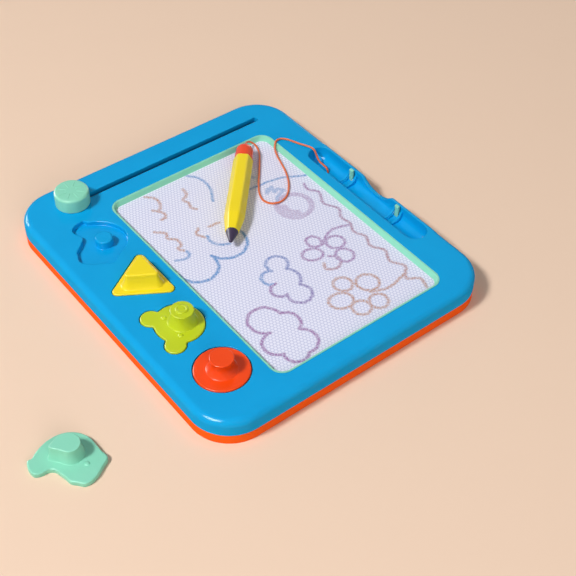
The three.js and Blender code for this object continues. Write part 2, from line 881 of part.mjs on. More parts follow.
function screenRail({ inner, outer, screws }) {
  const strip = plate(
    rectangle(
      railWidth,
      windowDepth,
      point((inner + outer) / 2, windowCentre.y),
      railScrewInset / 2,
      smallCornerSteps,
    ),
    railBottom,
    railTop,
  );
  const holes = screws.flatMap((place) => [
    column(railScrewRadius + seat, railBottom - overrun, railTop + overrun, place),
    solid(loft([
      { outline: circle(railScrewHeadRadius + seat, place, smallCircleSteps), z: railBottom - seat },
      {
        outline: circle(railScrewRadius + seat, place, smallCircleSteps),
        z: railBottom + railScrewHeadDepth,
      },
    ])),
  ]);
  return cut(strip, ...holes);
}

function addScreen() {
  add('screen_bezel', screenBezel(), mint);
  add('screen_film', screenSheet(coreTop, filmTop), film);
  add('honeycomb_core', screenSheet(sheetTop, coreTop), core);
  add('screen_back_sheet', screenSheet(railTop, sheetTop), film);
  rails.forEach((rail) => {
    add(`screen_rail_${rail.name}`, screenRail(rail), plastic(0x4a4d52, 0.6));
    rail.screws.forEach((place, i) => addScrew(`rail_screw_${rail.name}_${i + 1}`, place, {
      radius: railScrewRadius,
      headRadius: railScrewHeadRadius - seat,
      headHeight: railScrewHeadDepth,
      headLow: railBottom,
      tip: railTop + railScrewGrip,
      sunk: true,
    }));
  });
}

// The eraser: a bar on two guide ribs, its magnet strip, the knob above the frame and the knob's screw
function addEraser() {
  const barMiddle = point((barX[0] + barX[1]) / 2, eraserParkY);
  const magnetX = [rails[0].inner + run + run, rails[1].inner - run - run];
  const magnetTop = railTop - run;
  const magnetLow = magnetTop - eraserMagnetHeight;
  const stemTop = boardHeight + stemRise;
  const stemWidth = slotWidth - 2 * stemSideClear;
  const stemAt = point(slotX, eraserParkY);
  const headTop = barBottom + knobScrewHeadHeight + seat;
  const bar = cut(
    join(
      plate(
        rectangle(barX[1] - barX[0], barWidth, barMiddle, barWidth * softCornerShare, smallCornerSteps),
        barBottom,
        barTop,
      ),
      plate(
        rectangle(stemWidth, stemLength, stemAt, stemWidth * softCornerShare, smallCornerSteps),
        barBottom + barHeight / 2,
        stemTop,
      ),
    ),
    block(
      [magnetX[0] - seat, eraserParkY - eraserMagnetWidth / 2 - seat, magnetLow],
      [magnetX[1] + seat, eraserParkY + eraserMagnetWidth / 2 + seat, magnetTop],
    ),
    ...ribXs.map((x) => block(
      [x - guideRibThickness / 2 - run, eraserParkY - barWidth, barBottom - overrun],
      [x + guideRibThickness / 2 + run, eraserParkY + barWidth, barBottom + guideRibRise],
    )),
    column(knobScrewRadius + seat, barBottom - overrun, stemTop + overrun, stemAt),
    column(knobScrewHeadRadius + seat, barBottom - overrun, headTop, stemAt),
  );
  add('eraser_bar', bar, plastic(0xe8eaec, 0.5));
  add('eraser_magnet', block(
    [magnetX[0], eraserParkY - eraserMagnetWidth / 2, magnetLow],
    [magnetX[1], eraserParkY + eraserMagnetWidth / 2, magnetTop],
  ), magnetGrey);

  const knobLow = boardHeight + run;
  const knobTop = knobLow + knobHeight;
  const knob = cut(
    join(
      cut(
        plate(circle(knobRadius, stemAt, circleSteps + smallCircleSteps), knobLow, knobTop, {
          highRound: knobRound,
        }),
        column(
          knobRadius - knobWall,
          knobLow - overrun,
          knobTop - knobWall,
          stemAt,
          { highRound: knobWall },
          circleSteps,
        ),
      ),
      column(knobBossRadius, stemTop + seat, knobTop - knobWall / 2, stemAt),
    ),
    column(knobScrewRadius + seat, knobLow, stemTop + knobScrewBite + seat, stemAt),
  );
  add('eraser_knob', knob, mint);
  addScrew('knob_screw', stemAt, {
    radius: knobScrewRadius,
    headRadius: knobScrewHeadRadius,
    headHeight: knobScrewHeadHeight,
    headLow: barBottom,
    tip: stemTop + knobScrewBite,
  });
}

// The two sprung clips that grip the pen in its tray: a tab with a barb, on a foot below the tray
function penClip(x) {
  const footTop = trayFloor - trayWall - seat;
  const front = clipY - clipThickness / 2;
  const barbLow = clipTop - clipThickness;
  const tab = block(
    [x - clipWidth / 2, front, footTop - clipFootHeight],
    [x + clipWidth / 2, front + clipThickness, clipTop],
  );
  const barb = block(
    [x - clipWidth / 2, front + clipThickness / 2, barbLow],
    [x + clipWidth / 2, front + clipThickness + clipBarb, clipTop - clipBarb],
  );
  const foot = block(
    [x - clipFootWidth / 2, front, footTop - clipFootHeight],
    [x + clipFootWidth / 2, front + clipFootDepth, footTop],
  );
  return join(tab, barb, foot);
}

// The pen is built upright on its tip, then laid down with one flat on the screen
function hexagon(flats) {
  const corners = Array.from({ length: hexagonSides }, (_, i) => {
    const angle = Math.PI / hexagonSides * (1 + 2 * i);
    const reach = flats / 2 / Math.cos(Math.PI / hexagonSides);
    return point(reach * Math.cos(angle), reach * Math.sin(angle));
  });
  return roundedPolygon(corners, penCornerRadius * flats / penFlats, smallCornerSteps);
}

function addPen() {
  const pen = new THREE.Group();
  const upwards = new THREE.Vector3(0, 0, 1);
  const across = new THREE.Vector3().crossVectors(penDirection, upwards);
  pen.quaternion.setFromRotationMatrix(new THREE.Matrix4().makeBasis(upwards, across, penDirection));
  pen.position.copy(penEnd).addScaledVector(penDirection, -penLength);
  const barrelLow = penTipLength + seat;
  const capLow = penLength - penCapLength;
  const plugRadius = penBore - seat;
  const magnetHole = penMagnetRadius + seat;

  const barrel = cut(
    solid(loft([
      { outline: hexagon(2 * penTipBase), z: barrelLow },
      { outline: hexagon(penFlats), z: barrelLow + penTaperLength },
      { outline: hexagon(penFlats), z: capLow - seat },
    ])),
    column(penBore, barrelLow - overrun, capLow + overrun, middle, {}, circleSteps),
  );
  add('pen_barrel', barrel, yellow, pen);

  const tip = cut(
    join(
      solid(loft([
        { outline: circle(penTipEnd / 2, middle), z: 0 },
        { outline: circle(penTipEnd, middle), z: penTipEnd / 2 },
        { outline: circle(penTipBase, middle), z: penTipLength },
      ])),
      column(plugRadius, penTipLength - penTipCover, penTipLength + penPlugLength, middle, {}, circleSteps),
    ),
    column(magnetHole, penTipCover * 2, penLength, middle),
  );
  add('pen_tip', tip, darkPlum, pen);
  add('pen_magnet', column(
    penMagnetRadius,
    penTipCover * 2 + seat,
    penTipLength + penPlugLength,
    middle,
  ), magnetGrey, pen);

  const capRadius = penFlats / 2;
  const dome = [];
  for (let step = 0; step <= roundSteps * 2; step += 1) {
    const angle = Math.PI / 2 * step / (roundSteps * 2);
    const radius = Math.max(capRadius * Math.cos(angle), cordRadius + cordHoleClear + seat);
    dome.push({ outline: circle(radius, middle), z: penLength - capRadius + capRadius * Math.sin(angle) });
  }
  const cap = cut(
    join(
      solid(loft([{ outline: circle(capRadius, middle), z: capLow }, ...dome])),
      column(plugRadius, capLow - penPlugLength, capLow + penTipCover, middle, {}, circleSteps),
    ),
    column(cordRadius + cordHoleClear, 0, penLength + overrun, middle),
  );
  add('pen_cap', cap, red, pen);

  const knotZ = capLow - penPlugLength - seat - knotRadius;
  const knot = new THREE.SphereGeometry(knotRadius, smallCircleSteps, cordSides);
  knot.translate(0, 0, knotZ);
  add('pen_knot', join(
    solid(knot),
    column(cordRadius, knotZ, penLength + cordStub, middle, {}, cordSides),
  ), cordOrange, pen);
  board.add(pen);
}

// The cord runs from just past the pen's cap to its knot below the tray
function addCord() {
  const hole = new THREE.Vector3(cordAnchorX, trayY, trayFloor - trayWall);
  const path = new THREE.CatmullRomCurve3([
    penEnd.clone().addScaledVector(penDirection, cordStub + seat),
    ...cordRoute.map(([x, y, z]) => new THREE.Vector3(x, y, z)),
    new THREE.Vector3(hole.x, hole.y, trayFloor),
    hole,
  ], false, 'centripetal');
  const length = path.getLength();
  const section = new THREE.Shape(circle(cordRadius, middle, cordSides));
  add('pen_cord', new THREE.ExtrudeGeometry(section, {
    steps: Math.round(length / cordStep),
    curveSegments: cordSides,
    extrudePath: path,
  }), cordOrange);
  const knot = new THREE.SphereGeometry(knotRadius, smallCircleSteps, cordSides);
  knot.translate(hole.x, hole.y, hole.z - seat - knotRadius);
  add('anchor_knot', solid(knot), cordOrange);
}

add('top_frame', topFrame(), blue);
add('back_cover', backCover(), orange);
addCoverScrews();
addScreen();
addEraser();
saddles.forEach((x, i) => add(`pen_clip_${i + 1}`, penClip(x), mint));
addStamps();
addPen();
addCord();

export default board;
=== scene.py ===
"""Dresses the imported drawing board: its shells, screen, stamps, pen and cord."""
import cmath
import math
import bpy
import numpy as np
from mathutils import Matrix, Vector
from mathutils.geometry import delaunay_2d_cdt


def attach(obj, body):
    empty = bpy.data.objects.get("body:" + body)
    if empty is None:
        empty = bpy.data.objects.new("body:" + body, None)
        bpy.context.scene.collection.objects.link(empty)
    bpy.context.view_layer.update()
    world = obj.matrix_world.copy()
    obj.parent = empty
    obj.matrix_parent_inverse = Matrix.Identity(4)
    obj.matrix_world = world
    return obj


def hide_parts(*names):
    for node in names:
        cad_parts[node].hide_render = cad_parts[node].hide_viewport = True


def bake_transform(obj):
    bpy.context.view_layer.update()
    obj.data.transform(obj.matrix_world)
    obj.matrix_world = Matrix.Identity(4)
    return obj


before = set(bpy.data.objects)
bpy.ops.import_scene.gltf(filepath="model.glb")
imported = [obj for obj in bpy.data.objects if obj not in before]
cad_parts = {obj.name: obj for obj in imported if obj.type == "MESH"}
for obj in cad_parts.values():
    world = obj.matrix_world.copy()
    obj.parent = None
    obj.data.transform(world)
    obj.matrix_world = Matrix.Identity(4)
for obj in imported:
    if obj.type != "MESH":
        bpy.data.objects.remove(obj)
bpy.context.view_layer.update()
scene = bpy.context.scene
scene.view_settings.view_transform = "Standard"
MM = 0.001


def set_out(name, data):
    """A new object with its data, in the scene."""
    made = bpy.data.objects.new(name, data)
    scene.collection.objects.link(made)
    return made


# ---------------------------------------- sizes, in mm, as in the part's source
BOARD = (356.0, 315.0)
BOARD_TOP = 28.0
BOARD_CORNER = 40.0
EDGE_ROUND = 7.0
FRAME_FOOT = 11.0
FRAME_WALL = 2.6
FRAME_CEILING = 25.4        # the underside of the frame's top
WINDOW_LOW = (-156.4, -116.1)
WINDOW_HIGH = (122.8, 78.2)
WINDOW_CORNER = 13.0
SLOT_X = 146.4
SLOT_WIDE = 6.4
SLOT_Y = (-124.3, 109.6)
SLOT_CORNER = 1.92
COLLAR_WALL = 1.6           # a collar hangs round the slot, below the ceiling
COLLAR_FOOT = 21.8
TRAY_MIDDLE = (-15.5, -139.9)
TRAY_SIZE = (169.0, 24.2)
TRAY_CORNER = 11.98
TRAY_FLOOR = 13.0
TRAY_ROUND = 8.0
TRAY_BACK = 14.1            # the radius of the wall behind the tray's ends
SCOOP_X = -17.0
SCOOP_RADIUS = 29.2
SCOOP_AXIS = 47.2           # the height of the scoop's middle
SCOOP_SOFT = 1.6
CLIP_X = (-52.0, 18.0)
CORD_HOLE = (44.0, -139.9)
CORD_HOLE_RADIUS = 1.5
RECESS_FLOOR = 23.0
RECESS_CLEAR = 0.5
CUP_WALL = 3.0              # a cup hangs round each recess, below the ceiling
CUP_FOOT = 21.0
BOSS_RADIUS = 8.5
BOSS_TOP = 31.9
BOSS_ROUND = 1.8
STAMP_Y = {"circle": 111.5, "bear": 106.9, "triangle": 106.9, "whale": 106.9}
STAMP_X = {"circle": -119.0, "bear": -52.2, "triangle": 14.6, "whale": 81.4}
STAMP_FOOT = 23.3           # a stamp's underside
COVER_TOP = 10.7
COVER_FLOOR = 2.2
FILM_TOP = 22.7
FILM_THICK = 0.4
KNOB = (146.4, 103.0)
KNOB_RADIUS = 17.25

# ---------------------------------------- the camera, at the photograph's angle
# its place, its way ahead, and its level way to the right, before the tilt
EYE = Vector((-652.3, 465.5, 776.4)) * MM
AHEAD = Vector((0.5486, -0.4371, -0.7127)).normalized()
ACROSS = Vector((-0.62311, -0.78213, 0.0)).normalized()
TILT = math.radians(0.942)
upward = ACROSS.cross(AHEAD).normalized()
tilted_across = math.cos(TILT) * ACROSS + math.sin(TILT) * upward
tilted_up = -math.sin(TILT) * ACROSS + math.cos(TILT) * upward
camera_data = bpy.data.cameras.new("photo_camera")
camera_data.lens = 71.37
camera_data.sensor_width = 36.0
camera = set_out("photo_camera", camera_data)
turn = Matrix((tilted_across, tilted_up, -AHEAD)).transposed()
camera.matrix_world = Matrix.Translation(EYE) @ turn.to_4x4()
scene.camera = camera

# ---------------------------------------- finishes
# sockets by number, on nodes where several share a name
VALUE, FROM_LOW, FROM_HIGH, TO_LOW, TO_HIGH = range(5)      # Map Range
SHARE, ONE_COLOUR, OTHER_COLOUR, MIXED = 0, 6, 7, 2         # Mix, and what it gives out


def colour(code):
    """The linear colour of an sRGB hex value."""
    parts = [int(code[k:k + 2], 16) / 255 for k in (1, 3, 5)]
    linear = [c / 12.92 if c <= 0.04045 else ((c + 0.055) / 1.055) ** 2.4 for c in parts]
    return (*linear, 1.0)


def add(tree, kind, inputs=None, **settings):
    """Adds one node with its settings, its values and its links."""
    made = tree.nodes.new(kind)
    for name, value in settings.items():
        setattr(made, name, value)
    for key, value in (inputs or {}).items():
        if isinstance(value, bpy.types.NodeSocket):
            tree.links.new(value, made.inputs[key])
        else:
            made.inputs[key].default_value = value
    return made


def new_finish(name, looks):
    """A finish with its shader; the looks are what is the same all over the surface."""
    material = bpy.data.materials.new(name)
    material.use_nodes = True
    tree = material.node_tree
    tree.nodes.clear()
    shader = add(tree, "ShaderNodeBsdfPrincipled", looks)
    add(tree, "ShaderNodeOutputMaterial", {"Surface": shader.outputs[0]})
    return material, tree, shader


# clouds of about 30 mm, where the melt cooled at its own pace
FLOW_CLOUD = 30.3
# the tool's spark-eroded grain, drawn about twice as coarse as it is, so that it shows
TOOL_GRAIN = 0.35


def moulded_abs(name, body, flow, rough=0.36, depth=0.03, shine=0.25, polish=0.0):
    """Injection-moulded ABS: an even colour with faint flow clouds, and a fine eroded grain."""
    # the coat is the thin skin that a polished tool leaves: narrow, white streaks on the
    # rounds, and no haze on the walls
    material, tree, shader = new_finish(name, {
        "IOR": 1.54, "Specular IOR Level": shine,
        "Coat Weight": polish, "Coat Roughness": 0.14, "Coat IOR": 3.0})
    place = add(tree, "ShaderNodeTexCoord").outputs["Object"]
    clouds = add(tree, "ShaderNodeTexNoise",
                 {"Vector": place, "Scale": 1.0 / (FLOW_CLOUD * MM), "Detail": 2.0})
    blend = add(tree, "ShaderNodeMix",
                {SHARE: clouds.outputs[0], ONE_COLOUR: colour(body), OTHER_COLOUR: colour(flow)},
                data_type="RGBA")
    tree.links.new(blend.outputs[MIXED], shader.inputs["Base Color"])
    sheen = add(tree, "ShaderNodeMapRange",
                {VALUE: clouds.outputs[0], TO_LOW: rough - 0.05, TO_HIGH: rough + 0.06})
    tree.links.new(sheen.outputs[0], shader.inputs["Roughness"])
    pits = add(tree, "ShaderNodeTexNoise",
               {"Vector": place, "Scale": 1.0 / (TOOL_GRAIN * MM), "Detail": 1.0})
    dents = add(tree, "ShaderNodeBump",
                {"Height": pits.outputs[0], "Strength": 0.35, "Distance": depth * MM})
    tree.links.new(dents.outputs[0], shader.inputs["Normal"])
    return material


# the two shells: an even satin without gloss, and a narrow streak along each round edge
blue_abs = moulded_abs("moulded blue ABS", "#069CD8", "#0CA4E0", 0.3, shine=0.0, polish=0.055)
orange_abs = moulded_abs("moulded orange ABS", "#FA5E18", "#FC661E", 0.34, shine=0.0, polish=0.03)

# ---------------------------------------- outlines and skins
CROWN = 0.01        # a straight side bulges by this much, as a moulded one does
TOUCHING = 1e-7     # points closer than this are one
SLIVER = 0.003      # a face flatter than this share of its long edge is traded away


def smooth_line(knots, steps):
    """Points along a smooth line through its knots, centripetal, so that it never loops."""
    points = [Vector(p) for p in knots]
    ends = [2 * points[0] - points[1]] + points + [2 * points[-1] - points[-2]]
    line = []
    for p0, p1, p2, p3 in zip(ends, ends[1:], ends[2:], ends[3:]):
        t1 = (p1 - p0).length ** 0.5
        t2 = t1 + (p2 - p1).length ** 0.5
        t3 = t2 + (p3 - p2).length ** 0.5
        for j in range(steps):
            t = t1 + (t2 - t1) * j / steps
            a1 = p0 * (t1 - t) / t1 + p1 * t / t1
            a2 = p1 * (t2 - t) / (t2 - t1) + p2 * (t - t1) / (t2 - t1)
            a3 = p2 * (t3 - t) / (t3 - t2) + p3 * (t - t2) / (t3 - t2)
            b1 = a1 * (t2 - t) / t2 + a2 * t / t2
            b2 = a2 * (t3 - t) / (t3 - t1) + a3 * (t - t1) / (t3 - t1)
            line.append(b1 * (t2 - t) / (t2 - t1) + b2 * (t - t1) / (t2 - t1))
    return line + [points[-1]]


class Outline:
    """A closed line seen from above, run anticlockwise, with the way out at each point."""

    def __init__(self, points, ways=None):
        self.points = np.array(points, float)
        if ways is None:
            along = np.roll(self.points, -1, 0) - np.roll(self.points, 1, 0)
            ways = np.column_stack([along[:, 1], -along[:, 0]])
            ways = ways / np.linalg.norm(ways, axis=1)[:, None]
        self.ways = np.array(ways, float)

    def grown(self, by):
        """The points, moved out by a distance, or each by its own."""
        return self.points + self.ways * np.reshape(by, (-1, 1))

    def moved(self, place):
        """The same line in another place."""
        return Outline(self.points + np.array(place), self.ways)


def rounded_rectangle(low, high, corner, runs=(12.0,) * 4, turn=18):
    """A box with round corners; its front, right, back and left are cut into the given runs."""
    middles = [(high[0] - corner, low[1] + corner), (high[0] - corner, high[1] - corner),
               (low[0] + corner, high[1] - corner), (low[0] + corner, low[1] + corner)]
    points, ways = [], []
    for k in range(4):
        before = middles[k - 1]
        start = -math.pi / 2 + k * math.pi / 2
        out = (math.cos(start), math.sin(start))
        length = math.dist(before, middles[k])
        cuts = max(1, round(length / runs[k]))
        for j in range(1, cuts):
            share = j / cuts
            bow = corner + 4 * CROWN * share * (1 - share)
            points.append((before[0] + (middles[k][0] - before[0]) * share + bow * out[0],
                           before[1] + (middles[k][1] - before[1]) * share + bow * out[1]))
            ways.append(out)
        for j in range(turn + 1):
            angle = start + math.pi / 2 * j / turn
            out = (math.cos(angle), math.sin(angle))
            points.append((middles[k][0] + corner * out[0], middles[k][1] + corner * out[1]))
            ways.append(out)
    return Outline(points, ways)


def circle(radius, middle=(0.0, 0.0), count=64):
    """A circle cut into a count of runs."""
    angles = np.arange(count) * 2 * math.pi / count
    ways = np.column_stack([np.cos(angles), np.sin(angles)])
    return Outline(ways * radius + np.array(middle), ways)


def rounded_polygon(corners, radius, run=3.0, turn=8):
    """A polygon grown outwards by a radius, which rounds its corners."""
    points, ways = [], []
    count = len(corners)
    for k in range(count):
        here, before, after = corners[k], corners[k - 1], corners[(k + 1) % count]
        start = math.atan2(here[1] - before[1], here[0] - before[0]) - math.pi / 2
        stop = math.atan2(after[1] - here[1], after[0] - here[0]) - math.pi / 2
        while stop < start:
            stop += 2 * math.pi
        for j in range(turn + 1):
            angle = start + (stop - start) * j / turn
            out = (math.cos(angle), math.sin(angle))
            points.append((here[0] + radius * out[0], here[1] + radius * out[1]))
            ways.append(out)
        cuts = max(1, round(math.dist(here, after) / run))
        for j in range(1, cuts):
            bow = radius + 4 * CROWN * j / cuts * (1 - j / cuts)
            points.append((here[0] + (after[0] - here[0]) * j / cuts + bow * out[0],
                           here[1] + (after[1] - here[1]) * j / cuts + bow * out[1]))
            ways.append(out)
    return Outline(points, ways)


def smooth_outline(shares, size, steps=6):
    """A closed smooth line through shares of a size."""
    knots = np.array(shares) * size
    points = []
    for k in range(len(knots)):
        p0, p1, p2, p3 = (knots[(k + j) % len(knots)] for j in (-1, 0, 1, 2))
        for j in range(steps):
            t = j / steps
            points.append(p1 * (2 * t ** 3 - 3 * t ** 2 + 1) + p2 * (3 * t ** 2 - 2 * t ** 3)
                          + 0.5 * (p2 - p0) * (t ** 3 - 2 * t ** 2 + t)
                          + 0.5 * (p3 - p1) * (t ** 3 - t ** 2))
    return Outline(points)


def even_outline(points, run, soften):
    """A closed line cut again into even runs, with its notches softened."""
    points = np.array(points)
    ring = np.vstack([points, points[:1]])
    gone = np.concatenate([[0.0], np.cumsum(np.linalg.norm(np.diff(ring, axis=0), axis=1))])
    spots = np.linspace(0, gone[-1], round(gone[-1] / run), endpoint=False)
    even = np.column_stack([np.interp(spots, gone, ring[:, k]) for k in (0, 1)])
    for _ in range(soften):
        even = (np.roll(even, 1, 0) + 2 * even + np.roll(even, -1, 0)) / 4
    return Outline(even)


def shrunk_outline(outline, by):
    """A line drawn in by a distance, without the loops that tight turns would give it."""
    inner = outline.grown(-by)
    away = np.linalg.norm(inner[:, None] - outline.points[None], axis=2).min(axis=1)
    return even_outline(inner[away > by * 0.98], 1.2, 2)


def hull_outline(outline):
    """The line that a band stretched round an outline takes."""
    points = sorted(map(tuple, outline.points))
    chains = []
    for line in (points, points[::-1]):
        chain = []
        for x, y in line:
            while len(chain) > 1:
                (ax, ay), (bx, by) = chain[-2:]
                if (bx - ax) * (y - ay) - (by - ay) * (x - ax) > 0:
                    break
                chain.pop()
            chain.append((x, y))
        chains += chain[:-1]
    return even_outline(chains, 1.0, 8)


def quarter(start, corner, end, steps):
    """A rounded corner of a profile, from its start to its end, with the sharp corner between."""
    line = []
    for k in range(steps + 1):
        angle = math.pi / 2 * k / steps
        line.append(tuple(c + (a - c) * (1 - math.sin(angle)) + (b - c) * (1 - math.cos(angle))
                          for a, c, b in zip(start, corner, end)))
    return line


class Skin:
    """A closed surface, gathered in millimetres and made into one piece in metres."""

    def __init__(self):
        self.points = []
        self.faces = []

    def ring(self, flat, height):
        """New points over a flat line, at one height or each at its own; gives their numbers."""
        start = len(self.points)
        heights = np.broadcast_to(height, (len(flat),))
        self.points += [(p[0], p[1], h) for p, h in zip(flat, heights)]
        return list(range(start, len(self.points)))

    def band(self, one, two):
        """Faces between two rings of as many points."""
        count = len(one)
        for k in range(count):
            n = (k + 1) % count
            self.faces.append((one[k], one[n], two[n], two[k]))

    def bands(self, rings):
        """Faces along a row of rings; gives the first and the last ring."""
        for one, two in zip(rings, rings[1:]):
            self.band(one, two)
        return rings[0], rings[-1]

    def sweep(self, outline, profile, shares=1.0):
        """Rings at (growth, height) along an outline, and the faces between them."""
        return self.bands([self.ring(outline.grown(grow * np.array(shares)), height)
                           for grow, height in profile])

    def solid(self, outline, profile):
        """A swept solid, closed at its foot and at its top."""
        foot, top = self.sweep(outline, profile)
        self.fill(foot, up=False)
        self.fill(top)

    def rib(self, stations):
        """A solid that runs along x, with a profile of (y, height) at each station."""
        rings = []
        for x, line in stations:
            start = len(self.points)
            self.points += [(x, y, z) for y, z in line]
            rings.append(list(range(start, len(self.points))))
        first, last = self.bands(rings)
        self.faces += [tuple(reversed(first)), tuple(last)]

    def fill(self, border, holes=(), up=True):
        """Closes a flat place inside a border, round its holes."""
        loops = [border] + list(holes)
        keys = [k for loop in loops for k in loop]
        flat = np.array([self.points[k][:2] for k in keys])
        edges, start = [], 0
        for loop in loops:
            edges += [(start + k, start + (k + 1) % len(loop)) for k in range(len(loop))]
            start += len(loop)
        made = delaunay_2d_cdt([Vector(p) for p in flat - flat[0]], edges, [], 0, TOUCHING)
        spots = np.array([tuple(v) for v in made[0]]) + flat[0]
        corners = np.array(made[2])
        middles = spots[corners].mean(axis=1)
        inside = np.zeros(len(corners), bool)
        for a, b in edges:
            (ax, ay), (bx, by) = flat[a], flat[b]
            if ay == by:
                continue
            span = (ay > middles[:, 1]) != (by > middles[:, 1])
            inside ^= span & (middles[:, 0] < (bx - ax) * (middles[:, 1] - ay) / (by - ay) + ax)
        faces = [tuple(made[3][k][0] for k in face) for face in corners[inside]]
        owners = {(face[k - 1], face[k]): n for n, face in enumerate(faces) for k in range(3)}
        waiting = list(range(len(faces)))
        while waiting:
            n = waiting.pop()
            face = faces[n]
            k = max(range(3), key=lambda k: math.dist(flat[face[k]], flat[face[k - 1]]))
            p, q, r = face[k - 1], face[k], face[k - 2]
            (ux, uy), (vx, vy) = flat[q] - flat[p], flat[r] - flat[p]
            if abs(ux * vy - uy * vx) > SLIVER * math.hypot(ux, uy) or (q, p) not in owners:
                continue
            # a face that lies along a straight side trades its long edge with the face behind it
            m = owners.pop((q, p))
            owners.pop((p, q))
            s = (set(faces[m]) - {p, q}).pop()
            faces[n], faces[m] = (p, s, r), (s, q, r)
            owners |= {(p, s): n, (s, r): n, (r, p): n, (s, q): m, (q, r): m, (r, s): m}
            if abs((flat[s] - flat[p]) @ (-uy, ux)) > SLIVER * math.hypot(ux, uy):
                waiting += [n, m]
        self.faces += [tuple(keys[k] for k in (face if up else face[::-1])) for face in faces]

    def piece(self, name, material, sharp=50.0):
        """The finished piece; edges that turn by more degrees than sharp stay crisp."""
        mesh = bpy.data.meshes.new(name)
        mesh.from_pydata([tuple(c * MM for c in p) for p in self.points], [], self.faces)
        mesh.polygons.foreach_set("use_smooth", [True] * len(self.faces))
        mesh.set_sharp_from_angle(angle=math.radians(sharp))
        mesh.materials.append(material)
        made = set_out(name, mesh)
        even = made.modifiers.new("even shading", "WEIGHTED_NORMAL")
        even.keep_sharp = True
        return made


def repeated(name, places, turns, part, finish, size=1.0):
    """Sets one part at many places with Geometry Nodes, and gives back a plain mesh."""
    mesh = bpy.data.meshes.new(name)
    mesh.from_pydata([tuple(c * MM for c in p) for p in places], [], [])
    mesh.attributes.new("turn", "FLOAT", "POINT").data.foreach_set("value", turns)
    made = set_out(name, mesh)
    tree = bpy.data.node_groups.new(name, "GeometryNodeTree")
    face = tree.interface
    face.new_socket("Geometry", in_out="INPUT", socket_type="NodeSocketGeometry")
    sockets = {key: face.new_socket(key, in_out="INPUT", socket_type=f"NodeSocket{kind}")
               for key, kind in (("Part", "Object"), ("Size", "Float"), ("Finish", "Material"))}
    face.new_socket("Geometry", in_out="OUTPUT", socket_type="NodeSocketGeometry")
    given = add(tree, "NodeGroupInput")
    spots = add(tree, "GeometryNodeMeshToPoints", {0: given.outputs[0]})
    shape = add(tree, "GeometryNodeObjectInfo", {0: given.outputs["Part"]})
    turned = add(tree, "GeometryNodeInputNamedAttribute", {0: "turn"}, data_type="FLOAT")
    spin = add(tree, "ShaderNodeCombineXYZ", {2: turned.outputs[0]})
    sized = add(tree, "ShaderNodeCombineXYZ", {k: given.outputs["Size"] for k in (0, 1, 2)})
    copies = add(tree, "GeometryNodeInstanceOnPoints",
                 {"Points": spots.outputs[0], "Instance": shape.outputs["Geometry"],
                  "Rotation": spin.outputs[0], "Scale": sized.outputs[0]})
    real = add(tree, "GeometryNodeRealizeInstances", {0: copies.outputs[0]})
    dressed = add(tree, "GeometryNodeSetMaterial",
                  {0: real.outputs[0], "Material": given.outputs["Finish"]})
    add(tree, "NodeGroupOutput", {0: dressed.outputs[0]})
    nodes = made.modifiers.new("repeat", "NODES")
    nodes.node_group = tree
    for key, value in (("Part", part), ("Size", size), ("Finish", finish)):
        nodes[sockets[key].identifier] = value
    bpy.context.view_layer.update()
    shown = made.evaluated_get(bpy.context.evaluated_depsgraph_get())
    plain = bpy.data.meshes.new_from_object(shown)
    made.modifiers.remove(nodes)
    made.data = plain
    bpy.data.objects.remove(part)
    return made


# ---------------------------------------- the shapes that several pieces share
HALF = (BOARD[0] / 2, BOARD[1] / 2)
# the front is cut finely, because the tray and the scoop bend it
board_line = rounded_rectangle((-HALF[0], -HALF[1]), HALF, BOARD_CORNER,
                               (1.0, 12.0, 12.0, 12.0), 24)
window_line = rounded_rectangle(WINDOW_LOW, WINDOW_HIGH, WINDOW_CORNER)
slot_line = rounded_rectangle((SLOT_X - SLOT_WIDE / 2, SLOT_Y[0]),
                              (SLOT_X + SLOT_WIDE / 2, SLOT_Y[1]), SLOT_CORNER, turn=6)
tray_low = (TRAY_MIDDLE[0] - TRAY_SIZE[0] / 2, TRAY_MIDDLE[1] - TRAY_SIZE[1] / 2)
tray_high = (TRAY_MIDDLE[0] + TRAY_SIZE[0] / 2, TRAY_MIDDLE[1] + TRAY_SIZE[1] / 2)
tray_line = rounded_rectangle(tray_low, tray_high, TRAY_CORNER, (1.0, 2.0, 6.0, 2.0))
FACE_MIDDLE = (0.0, 3.65)
FACE_REACH = (24.2, 22.8)       # half its width and half its height
EAR_SPOT = (19.84, 20.98)
EAR_RADIUS = 9.9


def bear_line():
    """A round face with two round ears, as one line."""
    turns = np.linspace(0, 2 * math.pi, 720, endpoint=False)
    reach = FACE_REACH[0] * FACE_REACH[1] / np.hypot(FACE_REACH[1] * np.cos(turns),
                                                     FACE_REACH[0] * np.sin(turns))
    for side in (-1, 1):
        ear = np.array([side * EAR_SPOT[0], EAR_SPOT[1] - FACE_MIDDLE[1]])
        along = ear[0] * np.cos(turns) + ear[1] * np.sin(turns)
        off = EAR_RADIUS ** 2 - (ear @ ear - along ** 2)
        hits = (off > 0) & (along > 0)
        reach[hits] = np.maximum(reach[hits], along[hits] + np.sqrt(off[hits]))
    points = np.column_stack([reach * np.cos(turns), reach * np.sin(turns) + FACE_MIDDLE[1]])
    return even_outline(points, 0.8, 6)


